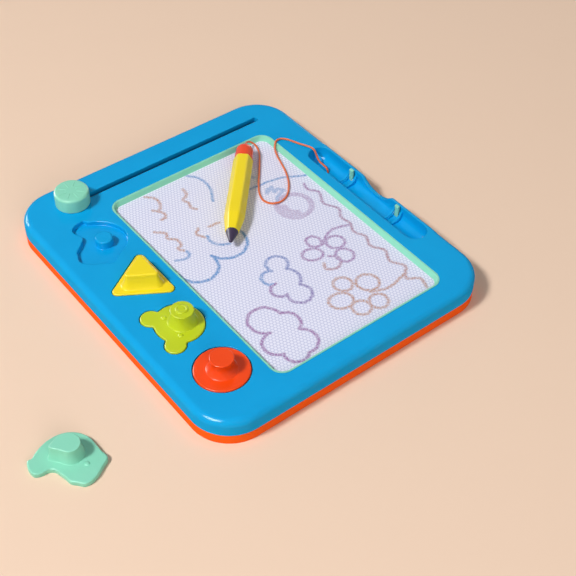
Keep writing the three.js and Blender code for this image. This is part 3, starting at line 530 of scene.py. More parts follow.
# shares of the whale's length
WHALE_SHARES = [
    [0.515, 0.1], [0.492, 0.18], [0.435, 0.25], [0.35, 0.25], [0.27, 0.212], [0.19, 0.222],
    [0.13, 0.28], [0.07, 0.345], [0.01, 0.42], [-0.07, 0.452], [-0.16, 0.485], [-0.24, 0.452],
    [-0.3, 0.395], [-0.35, 0.325], [-0.4, 0.235], [-0.45, 0.155], [-0.44, 0.09], [-0.395, 0.04],
    [-0.35, -0.04], [-0.265, -0.185], [-0.16, -0.278], [-0.013, -0.325], [0.13, -0.308],
    [0.275, -0.23], [0.375, -0.13], [0.425, -0.055], [0.46, 0.005], [0.51, 0.03]]
WHALE_GRIP_SHARES = [
    [0.6, 0.08], [0.5, 0.17], [0.3, 0.25], [0.02, 0.4], [-0.23, 0.36], [-0.4, 0.15],
    [-0.38, -0.12], [-0.12, -0.36], [0.18, -0.36], [0.42, -0.18]]


def triangle_core(width, depth, base):
    """The three corners of a triangle that stands on its base."""
    return [(-width / 2, base), (width / 2, base), (0.0, base + depth)]


STAMP_LINES = {
    "circle": circle(25.4, count=96),
    "bear": bear_line(),
    "triangle": rounded_polygon(triangle_core(48.9, 39.57, -13.43), 5.2),
    "whale": smooth_outline(WHALE_SHARES, 68.0),
}
# each grip's line, how far it flares at its foot, and how far its neck draws in
GRIP_LINES = {
    "circle": (circle(11.0), 4.5, 1.32),
    "bear": (circle(10.9), 3.5, 0.0),
    "triangle": (rounded_polygon(triangle_core(26.0, 22.1, -7.5), 2.6), 5.5, 0.0),
    "whale": (smooth_outline(WHALE_GRIP_SHARES, 26.0), 3.0, 0.0),
}

# ---------------------------------------- the blue top frame


def scoop_height(x):
    """The front rim's height: a finger scoop with soft shoulders."""
    off = abs(x - SCOOP_X)
    if off >= SCOOP_RADIUS:
        return BOARD_TOP
    arc = SCOOP_AXIS - math.sqrt(SCOOP_RADIUS ** 2 - off ** 2)
    gap = max(SCOOP_SOFT - abs(arc - BOARD_TOP), 0.0) / SCOOP_SOFT
    return min(arc, BOARD_TOP) - gap * gap * SCOOP_SOFT / 4


NARROW_HALF = 86.0      # the front edge is narrow this far to both sides of the tray's middle
NARROW_FADE = 14.0
NARROW_CUT = 0.36


def frame_front_share(x):
    """How much of the edge round is left between the tray and the front edge."""
    near = (NARROW_HALF - abs(x - TRAY_MIDDLE[0])) / NARROW_FADE + 0.5
    near = min(max(near, 0.0), 1.0)
    return 1.0 - NARROW_CUT * near * near * (3 - 2 * near)


frame_skin = Skin()
shares = [frame_front_share(p[0]) if way[1] < -0.99 else 1.0
          for p, way in zip(board_line.points, board_line.ways)]
frame_foot, frame_edge = frame_skin.sweep(
    board_line,
    [(0, FRAME_FOOT), (0, BOARD_TOP - EDGE_ROUND)]
    + quarter((0, BOARD_TOP - EDGE_ROUND), (0, BOARD_TOP), (-EDGE_ROUND, BOARD_TOP), 9)[1:], shares)
top_holes, ceiling_holes = [], []


def top_rim(size, room=0.0, steps=4):
    """The profile of a rounded edge between the board's top and a hole's wall."""
    return quarter((room + size, BOARD_TOP), (room, BOARD_TOP), (room, BOARD_TOP - size), steps)


def hollow_corner(size, height, room=0.0, steps=3):
    """The profile of a rounded inside corner between a wall and a floor."""
    return quarter((room, height + size), (room, height), (room - size, height), steps)


for line, profile in (
        (window_line, top_rim(0.4) + [(0, FRAME_CEILING)]),
        (slot_line, top_rim(0.8) + [(0, COLLAR_FOOT), (COLLAR_WALL, COLLAR_FOOT),
                                    (COLLAR_WALL, FRAME_CEILING)])):
    first, last = frame_skin.sweep(line, profile)
    top_holes.append(first)
    ceiling_holes.append(last)
for kind, line in STAMP_LINES.items():
    home = (STAMP_X[kind], STAMP_Y[kind])
    here = line.moved(home)
    # a stamp hides all but a sharp dark joint; the empty recess has a broader rim
    room, rim = (RECESS_CLEAR, 1.3) if kind == "whale" else (RECESS_CLEAR + 0.3, 0.5)
    first, last = frame_skin.sweep(
        here, top_rim(rim, room, 6) + hollow_corner(0.6, RECESS_FLOOR, room))
    top_holes.append(first)
    boss_foot, boss_top = frame_skin.sweep(
        circle(BOSS_RADIUS, home, 48),
        quarter((0.6, RECESS_FLOOR), (0, RECESS_FLOOR), (0, RECESS_FLOOR + 0.6), 3)
        + quarter((0, BOSS_TOP - BOSS_ROUND), (0, BOSS_TOP), (-BOSS_ROUND, BOSS_TOP), 7))
    frame_skin.fill(last, [boss_foot])
    frame_skin.fill(boss_top)
    first, last = frame_skin.sweep(hull_outline(here),
                                   [(CUP_WALL, CUP_FOOT), (CUP_WALL, FRAME_CEILING)])
    frame_skin.fill(first, up=False)
    ceiling_holes.append(last)
# the tray's rim is rounder on the screen's side than on the narrow front side
soft = 1.0 + 0.4 * tray_line.ways[:, 1]
rim_rings = [frame_skin.ring(tray_line.grown(grow * soft), BOARD_TOP - drop * soft)
             for grow, drop in quarter((1, 0), (0, 0), (0, 1), 5)]
top_holes.append(rim_rings[0])
tray_side, tray_floor = frame_skin.sweep(tray_line, hollow_corner(TRAY_ROUND, TRAY_FLOOR, steps=9))
frame_skin.bands(rim_rings + [tray_side])
hole_top, hole_foot = frame_skin.sweep(
    circle(CORD_HOLE_RADIUS, CORD_HOLE, 24),
    quarter((0.5, TRAY_FLOOR), (0, TRAY_FLOOR), (0, TRAY_FLOOR - 0.5), 3) + [(0, FRAME_FOOT)])
frame_skin.fill(tray_floor, [hole_top])
frame_skin.fill(frame_edge, top_holes)

# the inside wall runs round the back of the tray
INSET = (HALF[0] - FRAME_WALL, HALF[1] - FRAME_WALL)
TRAY_ENDS = (-88.02, 57.02)             # the middles of its two round ends
NOTCH_LEFT = (-105.0, -102.6)
NOTCH_RIGHT = (71.6, 74.0)
NOTCH_DEPTH = -150.0
inner = rounded_rectangle((-INSET[0], -INSET[1]), INSET, BOARD_CORNER - FRAME_WALL)
behind = circle(TRAY_BACK, count=64).points
notch = [(NOTCH_LEFT[0], -INSET[1]), (NOTCH_LEFT[1], NOTCH_DEPTH)]
notch += [(x + TRAY_ENDS[0], y + TRAY_MIDDLE[1]) for x, y in behind[32:15:-1]]
notch += [(x + TRAY_ENDS[1], y + TRAY_MIDDLE[1]) for x, y in behind[16::-1]]
notch += [(NOTCH_RIGHT[0], NOTCH_DEPTH), (NOTCH_RIGHT[1], -INSET[1])]
front = [k for k, way in enumerate(inner.ways)
         if way[1] < -0.99 and abs(inner.points[k][1] + INSET[1]) < CROWN]
kept_left = [tuple(inner.points[k]) for k in front if inner.points[k][0] < NOTCH_LEFT[0] - 1]
kept_right = [tuple(inner.points[k]) for k in front if inner.points[k][0] > NOTCH_RIGHT[1] + 1]
rest = [tuple(p) for k, p in enumerate(inner.points) if k not in front]
inner_wall = Outline(sorted(kept_left) + notch + sorted(kept_right) + rest)
first, last = frame_skin.sweep(inner_wall, [(0, FRAME_CEILING), (0, FRAME_FOOT)])
frame_skin.fill(first, ceiling_holes, up=False)
frame_skin.fill(frame_foot, [last, hole_foot], up=False)

# the front wall sinks into the scoop
SCOOP_BACK = -144.0
for k, (x, y, z) in enumerate(frame_skin.points):
    rim = scoop_height(x)
    low = FRAME_FOOT if y < tray_low[1] + CROWN else TRAY_FLOOR
    if rim < BOARD_TOP and y < SCOOP_BACK and z > low:
        frame_skin.points[k] = (x, y, low + (z - low) * (rim - low) / (BOARD_TOP - low))

SADDLE_REACH = 13.0
SADDLE_FOOT = 11.6
SADDLE_TOP = 23.5
PEN_AXIS = 26.64            # the height of the stowed pen's middle
SEAT_RADIUS = 11.24
STEP_RADIUS = 12.3


def saddle_shell(skin, low, high, cradle):
    """A rib across the tray, with a round seat for the pen."""
    stop = math.asin(math.sqrt(cradle ** 2 - (PEN_AXIS - SADDLE_TOP) ** 2) / cradle)
    line = [(-SADDLE_REACH, SADDLE_FOOT), (SADDLE_REACH, SADDLE_FOOT), (SADDLE_REACH, SADDLE_TOP)]
    line += [(cradle * math.sin(a), PEN_AXIS - cradle * math.cos(a))
             for a in np.linspace(stop, -stop, 25)]
    line.append((-SADDLE_REACH, SADDLE_TOP))
    # its top edges are rounded off by 0.35 mm
    skin.rib([(x, [(TRAY_MIDDLE[1] + y, z - (drop if z > SADDLE_FOOT else 0)) for y, z in line])
              for x, drop in ((low, 0.35), (low + 0.15, 0.1), (low + 0.35, 0),
                              (high - 0.35, 0), (high - 0.15, 0.1), (high, 0.35))])


# on both sides of a clip, a low step and a higher seat
for x in CLIP_X:
    for low, high, cradle in ((-6.5, -3.9, SEAT_RADIUS), (-4.0, -2.9, STEP_RADIUS),
                              (2.9, 4.0, STEP_RADIUS), (3.9, 6.5, SEAT_RADIUS)):
        saddle_shell(frame_skin, x + low, x + high, cradle)
top_frame = frame_skin.piece("blue_top_frame", blue_abs)
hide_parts("top_frame")
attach(top_frame, "board")

# ---------------------------------------- the orange back cover
COVER_SCREWS = [(155, 138), (-155, 138), (155, -138), (-155, -138), (-85.6, 148.1), (48, 148.1),
                (-112, -142), (81, -142)]
LIP_OUTSIDE = -2.9          # the lip stands this far inside the cover's outline
LIP_INSIDE = -4.3
LIP_RISE = 3.3
LIP_GAP = (-106, 76)        # the tray takes the lip's place here
WELL_RADIUS = 3.3
WELL_DEEP = 3.1
PILLAR_RADIUS = 4.4
PILLAR_TOP = 11.7
cover_skin = Skin()
cover_line = rounded_rectangle((-HALF[0], -HALF[1]), HALF, BOARD_CORNER,
                               (4.0, 12.0, 12.0, 12.0), 24)
lip = np.array([0.0 if LIP_GAP[0] < x < LIP_GAP[1] and y < NOTCH_DEPTH else 1.0
                for x, y in cover_line.points])
cover_foot, outer_top = cover_skin.sweep(
    cover_line,
    quarter((-0.6, 0), (0, 0), (0, 0.6), 4)
    + quarter((0, COVER_TOP - 0.4), (0, COVER_TOP), (-0.4, COVER_TOP), 2)
    + [(LIP_OUTSIDE, COVER_TOP)])
lip_rings = [cover_skin.ring(cover_line.grown(grow), COVER_TOP + lip * rise)
             for grow, rise in ((LIP_OUTSIDE, LIP_RISE - 0.3), (LIP_OUTSIDE - 0.3, LIP_RISE),
                                (LIP_INSIDE + 0.3, LIP_RISE), (LIP_INSIDE, LIP_RISE - 0.3))]
cover_floor = cover_skin.ring(cover_line.grown(LIP_INSIDE), COVER_FLOOR)
cover_skin.bands([outer_top] + lip_rings + [cover_floor])
wells, pillars = [], []
for spot in COVER_SCREWS:
    well_end, well_mouth = cover_skin.sweep(circle(WELL_RADIUS, spot, 32),
                                            [(0, WELL_DEEP), (0, 0.3), (0.3, 0)])
    cover_skin.fill(well_end, up=False)
    wells.append(well_mouth)
    pillar_foot, pillar_top = cover_skin.sweep(
        circle(PILLAR_RADIUS, spot, 32),
        [(0, COVER_FLOOR), (0, PILLAR_TOP - 0.2), (-0.3, PILLAR_TOP)])
    cover_skin.fill(pillar_top)
    pillars.append(pillar_foot)
cover_skin.fill(cover_foot, wells, up=False)
cover_skin.fill(cover_floor, pillars)
back_cover = cover_skin.piece("orange_back_cover", orange_abs)
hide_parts("back_cover")
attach(back_cover, "board")

# the bright plating has a faint cloudy bloom about 1 mm wide
PLATING_BLOOM = 1.111
zinc_steel, tree, shader = new_finish("zinc-plated steel", {"Metallic": 1.0})
place = add(tree, "ShaderNodeTexCoord").outputs["Object"]
bloom = add(tree, "ShaderNodeTexNoise",
            {"Vector": place, "Scale": 1.0 / (PLATING_BLOOM * MM), "Detail": 3.0})
tone = add(tree, "ShaderNodeMix",
           {SHARE: bloom.outputs[0], ONE_COLOUR: colour("#B9BCC2"),
            OTHER_COLOUR: colour("#D4D6DA")},
           data_type="RGBA")
tree.links.new(tone.outputs[MIXED], shader.inputs["Base Color"])
dull = add(tree, "ShaderNodeMapRange", {VALUE: bloom.outputs[0], TO_LOW: 0.25, TO_HIGH: 0.45})
tree.links.new(dull.outputs[0], shader.inputs["Roughness"])

# the cover's screws: pan heads with a cross recess, deep in their wells
CROSS_REACH = 1.8
CROSS_HALF = 0.4
CROSS_DEEP = 1.3
HEAD_RADIUS = 3.0
HEAD_HIGH = 2.0
HEAD_FOOT = 0.8             # how deep the heads lie
SCREW_TURNS = [0.3, 1.1, 0.7, 0.2, 1.4, 0.9, 0.5, 1.2]
cross = []
for c, s in ((1, 0), (0, 1), (-1, 0), (0, -1)):
    cross += [(c * x - s * y, s * x + c * y)
              for x, y in ((CROSS_HALF, -CROSS_HALF), (CROSS_REACH, -CROSS_HALF),
                           (CROSS_REACH, CROSS_HALF))]
head = Skin()
cross_end = head.ring([(x * 0.7, y * 0.7) for x, y in cross], CROSS_DEEP)
cross_mouth = head.ring(cross, 0.05)
head.fill(cross_end, up=False)
head.band(cross_end, cross_mouth)
head_face, head_back = head.sweep(
    circle(HEAD_RADIUS - 0.6, count=32),
    [(0, 0.0), (0.4, 0.2), (0.6, 0.6), (0.6, HEAD_HIGH - 0.1), (0.5, HEAD_HIGH)])
head.fill(head_face, [cross_mouth], up=False)
head.fill(head_back)
cover_screws = repeated("cover_screw_heads", [(x, y, HEAD_FOOT) for x, y in COVER_SCREWS],
                        SCREW_TURNS, head.piece("screw_head", zinc_steel, 35.0), zinc_steel)
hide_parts(*[f"cover_screw_{k}" for k in range(1, 9)])
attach(cover_screws, "board")

# ---------------------------------------- the mint bezel
BEZEL_FLANGE = 3.4          # it reaches this far below the frame
FLANGE_TOP = 24.9
bezel_skin = Skin()
flange_foot, slope_foot = bezel_skin.sweep(
    window_line,
    [(BEZEL_FLANGE, FILM_TOP), (BEZEL_FLANGE, FLANGE_TOP), (-0.1, FLANGE_TOP)]
    + quarter((-0.1, BOARD_TOP - 0.2), (-0.1, BOARD_TOP), (-0.3, BOARD_TOP), 3)
    + quarter((-1.5, BOARD_TOP), (-1.8, BOARD_TOP), (-1.92, BOARD_TOP - 0.4), 3)
    + quarter((-3.85, FILM_TOP + 0.5), (-4.15, FILM_TOP + 0.05), (-4.2, FILM_TOP), 3))
bezel_skin.band(slope_foot, flange_foot)
mint_abs = moulded_abs("moulded mint ABS", "#84D2B4", "#8ED8BC")
bezel = bezel_skin.piece("mint_bezel", mint_abs)
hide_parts("screen_bezel")
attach(bezel, "board")

# ---------------------------------------- the stamps
# small mouldings: satin, with a soft highlight; red has the sharper streaks
lime_abs = moulded_abs("moulded lime ABS", "#BCCC1A", "#C2D126")
red_abs = moulded_abs("moulded orange-red ABS", "#EE4306", "#F24B0E", shine=0.1, polish=0.05)
yellow_abs = moulded_abs("moulded yellow ABS", "#F2D612", "#F4DA1E")
STAMP_FINISH = {"circle": (red_abs, "red_abs"), "bear": (lime_abs, "lime_abs"),
                "triangle": (yellow_abs, "yellow_abs"), "whale": (mint_abs, "mint_abs")}
EYES = {"bear": [(-13.55, 11.4), (13.55, 11.4)], "whale": [(-13.6, 13.6)]}
EYE_RADIUS = 2.6
EYE_RISE = 1.2
PLATE = 5.2
PLATE_ROUND = 1.5
GRIP_FOOT = 3.7             # the flare starts here, inside the plate
GRIP_FLARE_END = 19.0
GRIP_TOP = 20.0
NOSE_RADIUS = 5.8
NOSE_TOP = 21.2
POCKET_INSET = 2.3          # the magnet sheet's pocket
POCKET_DEEP = 1.0
SOCKET_RADIUS = 9.2         # the hollow that takes a boss
SOCKET_DEEP = 9.3


def grip_profile(flare, neck, soft):
    """A grip from its fillet on the plate to its rounded top."""
    def growth(z):
        t = (z - GRIP_FOOT) / (GRIP_FLARE_END - GRIP_FOOT)
        return flare * (1 - t) ** 2 - neck * math.sin(math.pi * t)

    profile = [(growth(PLATE) + 0.35, PLATE), (growth(PLATE) - 0.05, PLATE + 0.25)]
    profile += [(growth(z), z) for z in np.linspace(GRIP_FOOT, GRIP_FLARE_END, 15)
                if PLATE < z < GRIP_TOP - soft]
    return profile + quarter((0, GRIP_TOP - soft), (0, GRIP_TOP), (-soft, GRIP_TOP), 6)


def stamp_skin(kind):
    """A stamp on its own foot: plate, grip, bumps, and the hollows below."""
    skin = Skin()
    line = STAMP_LINES[kind]
    grip_line, flare, neck = GRIP_LINES[kind]
    foot, plate_edge = skin.sweep(
        line, [(-0.3, 0.0), (0, 0.3)]
        + quarter((0, PLATE - PLATE_ROUND), (0, PLATE), (-PLATE_ROUND, PLATE), 6))
    grip_foot, grip_top = skin.sweep(grip_line,
                                     grip_profile(flare, neck, 2.2 if kind == "triangle" else 1.0))
    skin.fill(plate_edge, [grip_foot])
    if kind == "bear":
        # the nose is a ring in a shallow groove
        groove, nose_top = skin.sweep(
            circle(NOSE_RADIUS),
            [(0.5, GRIP_TOP), (0, GRIP_TOP + 0.3), (0, GRIP_TOP + 0.4)]
            + quarter((0, GRIP_TOP + 0.4), (0, NOSE_TOP), (-1.2, NOSE_TOP), 4)[1:]
            + [(-1.7, NOSE_TOP), (-2.1, NOSE_TOP - 0.3), (-2.4, NOSE_TOP - 0.5)])
        skin.fill(grip_top, [groove])
        skin.fill(nose_top)
    else:
        skin.fill(grip_top)
    pocket, pocket_mouth = skin.sweep(shrunk_outline(line, POCKET_INSET),
                                      [(0, POCKET_DEEP), (0, 0.0)])
    skin.fill(foot, [pocket_mouth], up=False)
    socket_end, socket_mouth = skin.sweep(circle(SOCKET_RADIUS, count=48),
                                          [(0, SOCKET_DEEP), (0, POCKET_DEEP)])
    skin.fill(socket_end, up=False)
    skin.fill(pocket, [socket_mouth], up=False)
    for spot in EYES.get(kind, ()):
        skin.solid(circle(EYE_RADIUS, spot, 24),
                   [(0, PLATE - 0.6), (0, PLATE - 0.01)]
                   + [(EYE_RADIUS * (math.cos(a) - 1), PLATE + EYE_RISE * math.sin(a))
                      for a in np.linspace(0.15, 1.35, 6)])
    return skin


STAMP_PLACES = {kind: Matrix.Translation((STAMP_X[kind], STAMP_Y[kind], STAMP_FOOT))
                for kind in STAMP_X}
# the whale lies on the table
STAMP_PLACES["whale"] = (Matrix.Translation((-100.2, 253.8, 0.0))
                         @ Matrix.Rotation(math.radians(62), 4, "Z"))
for kind, place in STAMP_PLACES.items():
    skin = stamp_skin(kind)
    skin.points = [tuple(place @ Vector(p)) for p in skin.points]
    finish, slot_name = STAMP_FINISH[kind]
    stamp = skin.piece(f"{kind}_stamp_body", finish)
    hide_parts(f"{kind}_stamp")
    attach(stamp, kind)

# ---------------------------------------- the screen film and its drawing
def lobes(ends, tops, closed):
    """Round lobes: from one inward corner to the next, each on the circle through its own top."""
    pairs = list(zip(ends, ends[1:] + ends[:1])) if closed else list(zip(ends, ends[1:]))
    line = []
    for (a, b), top in zip(pairs, tops):
        a, b, c = complex(*a), complex(*b), complex(*top)
        w = (c - a) / (b - a)
        middle = a + (b - a) * (w - abs(w) ** 2) / (2j * w.imag)
        first, swing = a - middle, [cmath.phase((spot - middle) / (a - middle)) for spot in (c, b)]
        if (swing[0] > 0) != (swing[1] > 0) or abs(swing[1]) < abs(swing[0]):
            swing[1] -= math.copysign(2 * math.pi, swing[1])
        line += [middle + first * cmath.exp(1j * swing[1] * t) for t in np.linspace(0, 1, 24)]
    return [(spot.real, spot.imag) for spot in line]


def loop(middle, reach, lean=0.0, start=0, stop=360):
    """An oval, or a part of one, turned by a lean; angles in degrees."""
    turns = np.radians(np.linspace(start, stop, 40))
    c, n = math.cos(math.radians(lean)), math.sin(math.radians(lean))
    return [(middle[0] + reach[0] * math.cos(a) * c - reach[1] * math.sin(a) * n,
             middle[1] + reach[0] * math.cos(a) * n + reach[1] * math.sin(a) * c) for a in turns]


TAN, BLUE, MAUVE = "#BE9280", "#6494CC", "#9E76AA"
# inward corners, the tops between them, closed or not, two colours, width, strength
CLOUDS = (
    ([(-93, 29), (-119, 27), (-146, 37), (-134, 56), (-107, 50)],
     [(-100, 20), (-137, 20), (-149, 51), (-117, 66), (-76, 43)], True, MAUVE, MAUVE, 3.0, 1.0),
    ([(-61, 9), (-45, 2), (-51, -11), (-75, -8), (-78, 9)],
     [(-48, 16), (-30, -9), (-62, -16), (-96, -3), (-72, 19)], True, BLUE, MAUVE, 3.0, 0.95),
    ([(3, 74), (6, 35), (30, 0)], [(-19, 54), (-8, 8)], False, BLUE, BLUE, 3.2, 1.0))
# knots, colour at the start, colour at the end
STROKES = (
    ([(31, 22), (23, 24), (14, 20), (9, 11)], BLUE, BLUE),
    ([(21, 66), (17, 55), (21, 50), (27, 51)], BLUE, BLUE),
    ([(116, 39), (107, 32), (95, 34), (90, 40), (94, 44), (84, 37), (78, 39), (77, 45)], TAN, TAN),
    ([(66, 60), (58, 52), (51, 55), (45, 49), (36, 49), (33, 55), (27, 51)], TAN, TAN),
    ([(103, 2), (93, 4), (89, 11), (82, 9), (75, 11), (69, 8)], TAN, TAN),
    ([(40, 2), (41, 13)], TAN, TAN),
    ([(45, 23), (39, 29), (31, 25)], TAN, TAN),
    ([(118, -13), (106, -21), (88, -21), (70, -12)], BLUE, BLUE),
    ([(64, -40), (61, -61), (58, -85), (45, -111)], BLUE, BLUE),
    ([(-46, -59), (-39, -69), (-35, -81), (-40, -99)], MAUVE, MAUVE),
    ([(-122, -54), (-128, -71), (-126, -85), (-123, -97)], TAN, TAN),
    ([(-62, -54), (-68, -60), (-75, -58), (-79, -51), (-77, -44), (-73, -41), (-67, -44)],
     MAUVE, TAN),
    ([(36, -101), (26, -99), (17, -105), (0, -98), (-15, -105), (-26, -99), (-39, -100),
      (-50, -95), (-62, -100), (-75, -95), (-88, -102), (-102, -96), (-116, -103), (-123, -97),
      (-129, -93), (-137, -103), (-150, -100)], MAUVE, TAN))
# the two flowers: middle, half sizes, lean and colour
PETALS = (
    ((-37.5, -55), (8.0, 6.8), 12, MAUVE), ((-50.5, -71.5), (9.2, 8.6), 62, MAUVE),
    ((-70, -67), (9.2, 8.6), 10, MAUVE), ((-51, -43), (10.2, 8.0), 65, MAUVE),
    ((-99, -40.5), (9.2, 8.8), 30, TAN), ((-111, -60.5), (11.0, 10.4), 45, TAN),
    ((-135.5, -53), (9.0, 9.0), 20, TAN), ((-132.5, -35), (9.0, 8.8), 60, TAN),
    ((-114.5, -25.5), (11.8, 9.8), 70, TAN))
BALL = (15, -73)
BALL_RINGS = (15.8, 18.4)
BALL_HATCHES = (8.5, 10.6, 12.8, 15.0, 17.2, 19.2)
# knots, width, strength
SCRIBBLES = (
    ([(51, -66), (46, -62), (52, -72), (43, -69), (46, -75), (41, -79), (38, -72), (34, -66),
      (31, -64)], 3.8, 0.6),
    ([(78, -58), (70, -54), (82, -62), (74, -66)], 4.4, 0.5))
# the drawing: line, colour at its start, colour at its end, width, strength
DRAWING = [(lobes(ends, tops, closed), *looks) for ends, tops, closed, *looks in CLOUDS]
DRAWING += [([(p.x, p.y) for p in smooth_line([(x, y, 0.0) for x, y in knots], 8)],
             start, stop, 2.8, 0.85) for knots, start, stop in STROKES]
DRAWING += [(loop(spot, reach, lean), tint, tint, 2.8, 0.85) for spot, reach, lean, tint in PETALS]
DRAWING += [(loop(BALL, (reach, reach), 0, 175, 425), MAUVE, MAUVE, 3.0, 0.52)
            for reach in BALL_RINGS]
DRAWING += [(loop(BALL, (reach, reach), 0, 66 - reach, 176 - reach / 2), MAUVE, MAUVE, 2.8, 0.46)
            for reach in BALL_HATCHES]
DRAWING += [(line, BLUE, BLUE, width, strength) for line, width, strength in SCRIBBLES]
FILM_LOW = (-158.4, -118.1)
FILM_HIGH = (124.8, 80.2)
FILM_STEP = 0.9
LINE_EDGE = 1.1             # a drawn line fades over this width
LINE_MARGIN = 1.2
WAVER = 0.3                 # how far a drawn line wavers, each way


def draw(line, start, stop, width, strength, xs, ys, ink, tints):
    """Lays one line on the film's grid: how dark each point is, and in which colour."""
    line = np.array(line)
    line = line + WAVER * np.sin(line[:, ::-1] * 1.7) + WAVER / 2 * np.sin(line * 4.1)
    reach = width / 2 + LINE_MARGIN
    for k, (a, b) in enumerate(zip(line, line[1:])):
        i0, i1 = np.searchsorted(xs, (min(a[0], b[0]) - reach, max(a[0], b[0]) + reach))
        j0, j1 = np.searchsorted(ys, (min(a[1], b[1]) - reach, max(a[1], b[1]) + reach))
        gx, gy = np.meshgrid(xs[i0:i1], ys[j0:j1], indexing="ij")
        along = b - a
        share = ((gx - a[0]) * along[0] + (gy - a[1]) * along[1]) / max(along @ along, 1e-9)
        share = share.clip(0, 1)
        off = np.hypot(gx - a[0] - share * along[0], gy - a[1] - share * along[1])
        mark = ((width / 2 + LINE_EDGE / 2 - off) / LINE_EDGE).clip(0, 1) * strength
        part = k / len(line)
        tint = np.array(colour(start)[:3]) * (1 - part) + np.array(colour(stop)[:3]) * part
        held = ink[i0:i1, j0:j1]
        tints[i0:i1, j0:j1][(off < reach) & (mark >= held)] = tint
        ink[i0:i1, j0:j1] = np.maximum(held, mark)


def film_mesh():
    """A thin sheet whose top is a fine grid; its points carry the drawn lines."""
    counts = [round((FILM_HIGH[k] - FILM_LOW[k]) / FILM_STEP) + 1 for k in (0, 1)]
    xs, ys = (np.linspace(FILM_LOW[k], FILM_HIGH[k], counts[k]) for k in (0, 1))
    ink = np.zeros(counts)
    tints = np.zeros((*counts, 3))
    tints[:] = colour(MAUVE)[:3]
    for stroke in DRAWING:
        draw(*stroke, xs, ys, ink, tints)
    gx, gy = np.meshgrid(xs, ys, indexing="ij")
    top = np.column_stack([gx.ravel(), gy.ravel(), np.full(gx.size, FILM_TOP)])
    number = np.arange(gx.size).reshape(gx.shape)
    quads = np.stack([number[:-1, :-1], number[1:, :-1], number[1:, 1:], number[:-1, 1:]], axis=-1)
    border = np.concatenate([number[:-1, 0], number[-1, :-1], number[:0:-1, -1], number[0, :0:-1]])
    below = top[border] - np.array([0, 0, FILM_THICK])
    low = np.arange(len(border)) + len(top)
    sides = np.stack([low, np.roll(low, -1), np.roll(border, -1), border], axis=-1)
    faces = quads.reshape(-1, 4).tolist() + sides.tolist() + [low[::-1].tolist()]
    mesh = bpy.data.meshes.new("screen_film_sheet")
    mesh.from_pydata((np.vstack([top, below]) * MM).tolist(), [], faces)
    # the points below carry no line
    full_ink = np.concatenate([ink.ravel(), np.zeros(len(border))])
    full_tint = np.vstack([tints.reshape(-1, 3), np.zeros((len(border), 3))])
    full_tint = np.column_stack([full_tint, np.ones(len(full_tint))])
    mesh.attributes.new("drawn", "FLOAT", "POINT").data.foreach_set("value", full_ink)
    mesh.attributes.new("line_colour", "FLOAT_COLOR", "POINT").data.foreach_set(
        "color", full_tint.ravel())
    return mesh


# the cells stand 3.5 mm apart, every second row half a cell on
CELL = (6.062, 3.5)
CELL_HOLLOW = (1.05, 1.95)      # a cell's wall rises between these distances from its middle
POWDER_GRAIN = 1.613
half_cell = (CELL[0] / 2 * MM, CELL[1] / 2 * MM)
# the film's front is etched matt: it shows no gloss, and the pale cells shine through it
film_finish, tree, shader = new_finish("matt screen film over white cells",
                                       {"Roughness": 0.5, "Specular IOR Level": 0.06})
place = add(tree, "ShaderNodeTexCoord").outputs["Object"]
moved = add(tree, "ShaderNodeVectorMath", {0: place, 1: (*half_cell, 0.0)}, operation="ADD")
reach = []
for row in (place, moved.outputs[0]):
    cell = add(tree, "ShaderNodeVectorMath",
               {0: row, 1: (*half_cell, 1.0), 2: (-half_cell[0], -half_cell[1], 0.0)},
               operation="WRAP")
    flat = add(tree, "ShaderNodeVectorMath", {0: cell.outputs[0], 1: (1.0, 1.0, 0.0)},
               operation="MULTIPLY")
    reach.append(add(tree, "ShaderNodeVectorMath", {0: flat.outputs[0]}, operation="LENGTH"))
near = add(tree, "ShaderNodeMath", {k: reach[k].outputs["Value"] for k in (0, 1)},
           operation="MINIMUM")
wall = add(tree, "ShaderNodeMapRange", {VALUE: near.outputs[0], FROM_LOW: CELL_HOLLOW[0] * MM,
                                        FROM_HIGH: CELL_HOLLOW[1] * MM})
# iron powder lies unevenly, in grains that are drawn about 1 mm wide, and most in a cell's middle
powder = add(tree, "ShaderNodeTexNoise",
             {"Vector": place, "Scale": 1.0 / (POWDER_GRAIN * MM), "Detail": 3.0})
grain = add(tree, "ShaderNodeMapRange", {VALUE: powder.outputs[0], FROM_LOW: 0.36, FROM_HIGH: 0.62,
                                         TO_LOW: 0.35, TO_HIGH: 1.25})
drawn = add(tree, "ShaderNodeAttribute", attribute_name="drawn")
tint = add(tree, "ShaderNodeAttribute", attribute_name="line_colour")
inside = add(tree, "ShaderNodeMapRange", {VALUE: wall.outputs[0], TO_LOW: 1.15, TO_HIGH: 0.55})
uneven = add(tree, "ShaderNodeMath", {0: inside.outputs[0], 1: grain.outputs[0]},
             operation="MULTIPLY")
amount = add(tree, "ShaderNodeMath", {0: drawn.outputs["Fac"], 1: uneven.outputs[0]},
             operation="MULTIPLY", use_clamp=True)
cells = add(tree, "ShaderNodeMix",
            {SHARE: wall.outputs[0], ONE_COLOUR: colour("#EAEAF9"),
             OTHER_COLOUR: colour("#BFC0DF")},
            data_type="RGBA")
surface = add(tree, "ShaderNodeMix", {SHARE: amount.outputs[0], ONE_COLOUR: cells.outputs[MIXED],
                                      OTHER_COLOUR: tint.outputs["Color"]}, data_type="RGBA")
tree.links.new(surface.outputs[MIXED], shader.inputs["Base Color"])
dents = add(tree, "ShaderNodeBump",
            {"Height": wall.outputs[0], "Strength": 0.25, "Distance": 0.1 * MM})
tree.links.new(dents.outputs[0], shader.inputs["Normal"])
film_data = film_mesh()
film_data.materials.append(film_finish)
film = set_out("screen_film_sheet", film_data)
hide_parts("screen_film")
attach(film, "board")

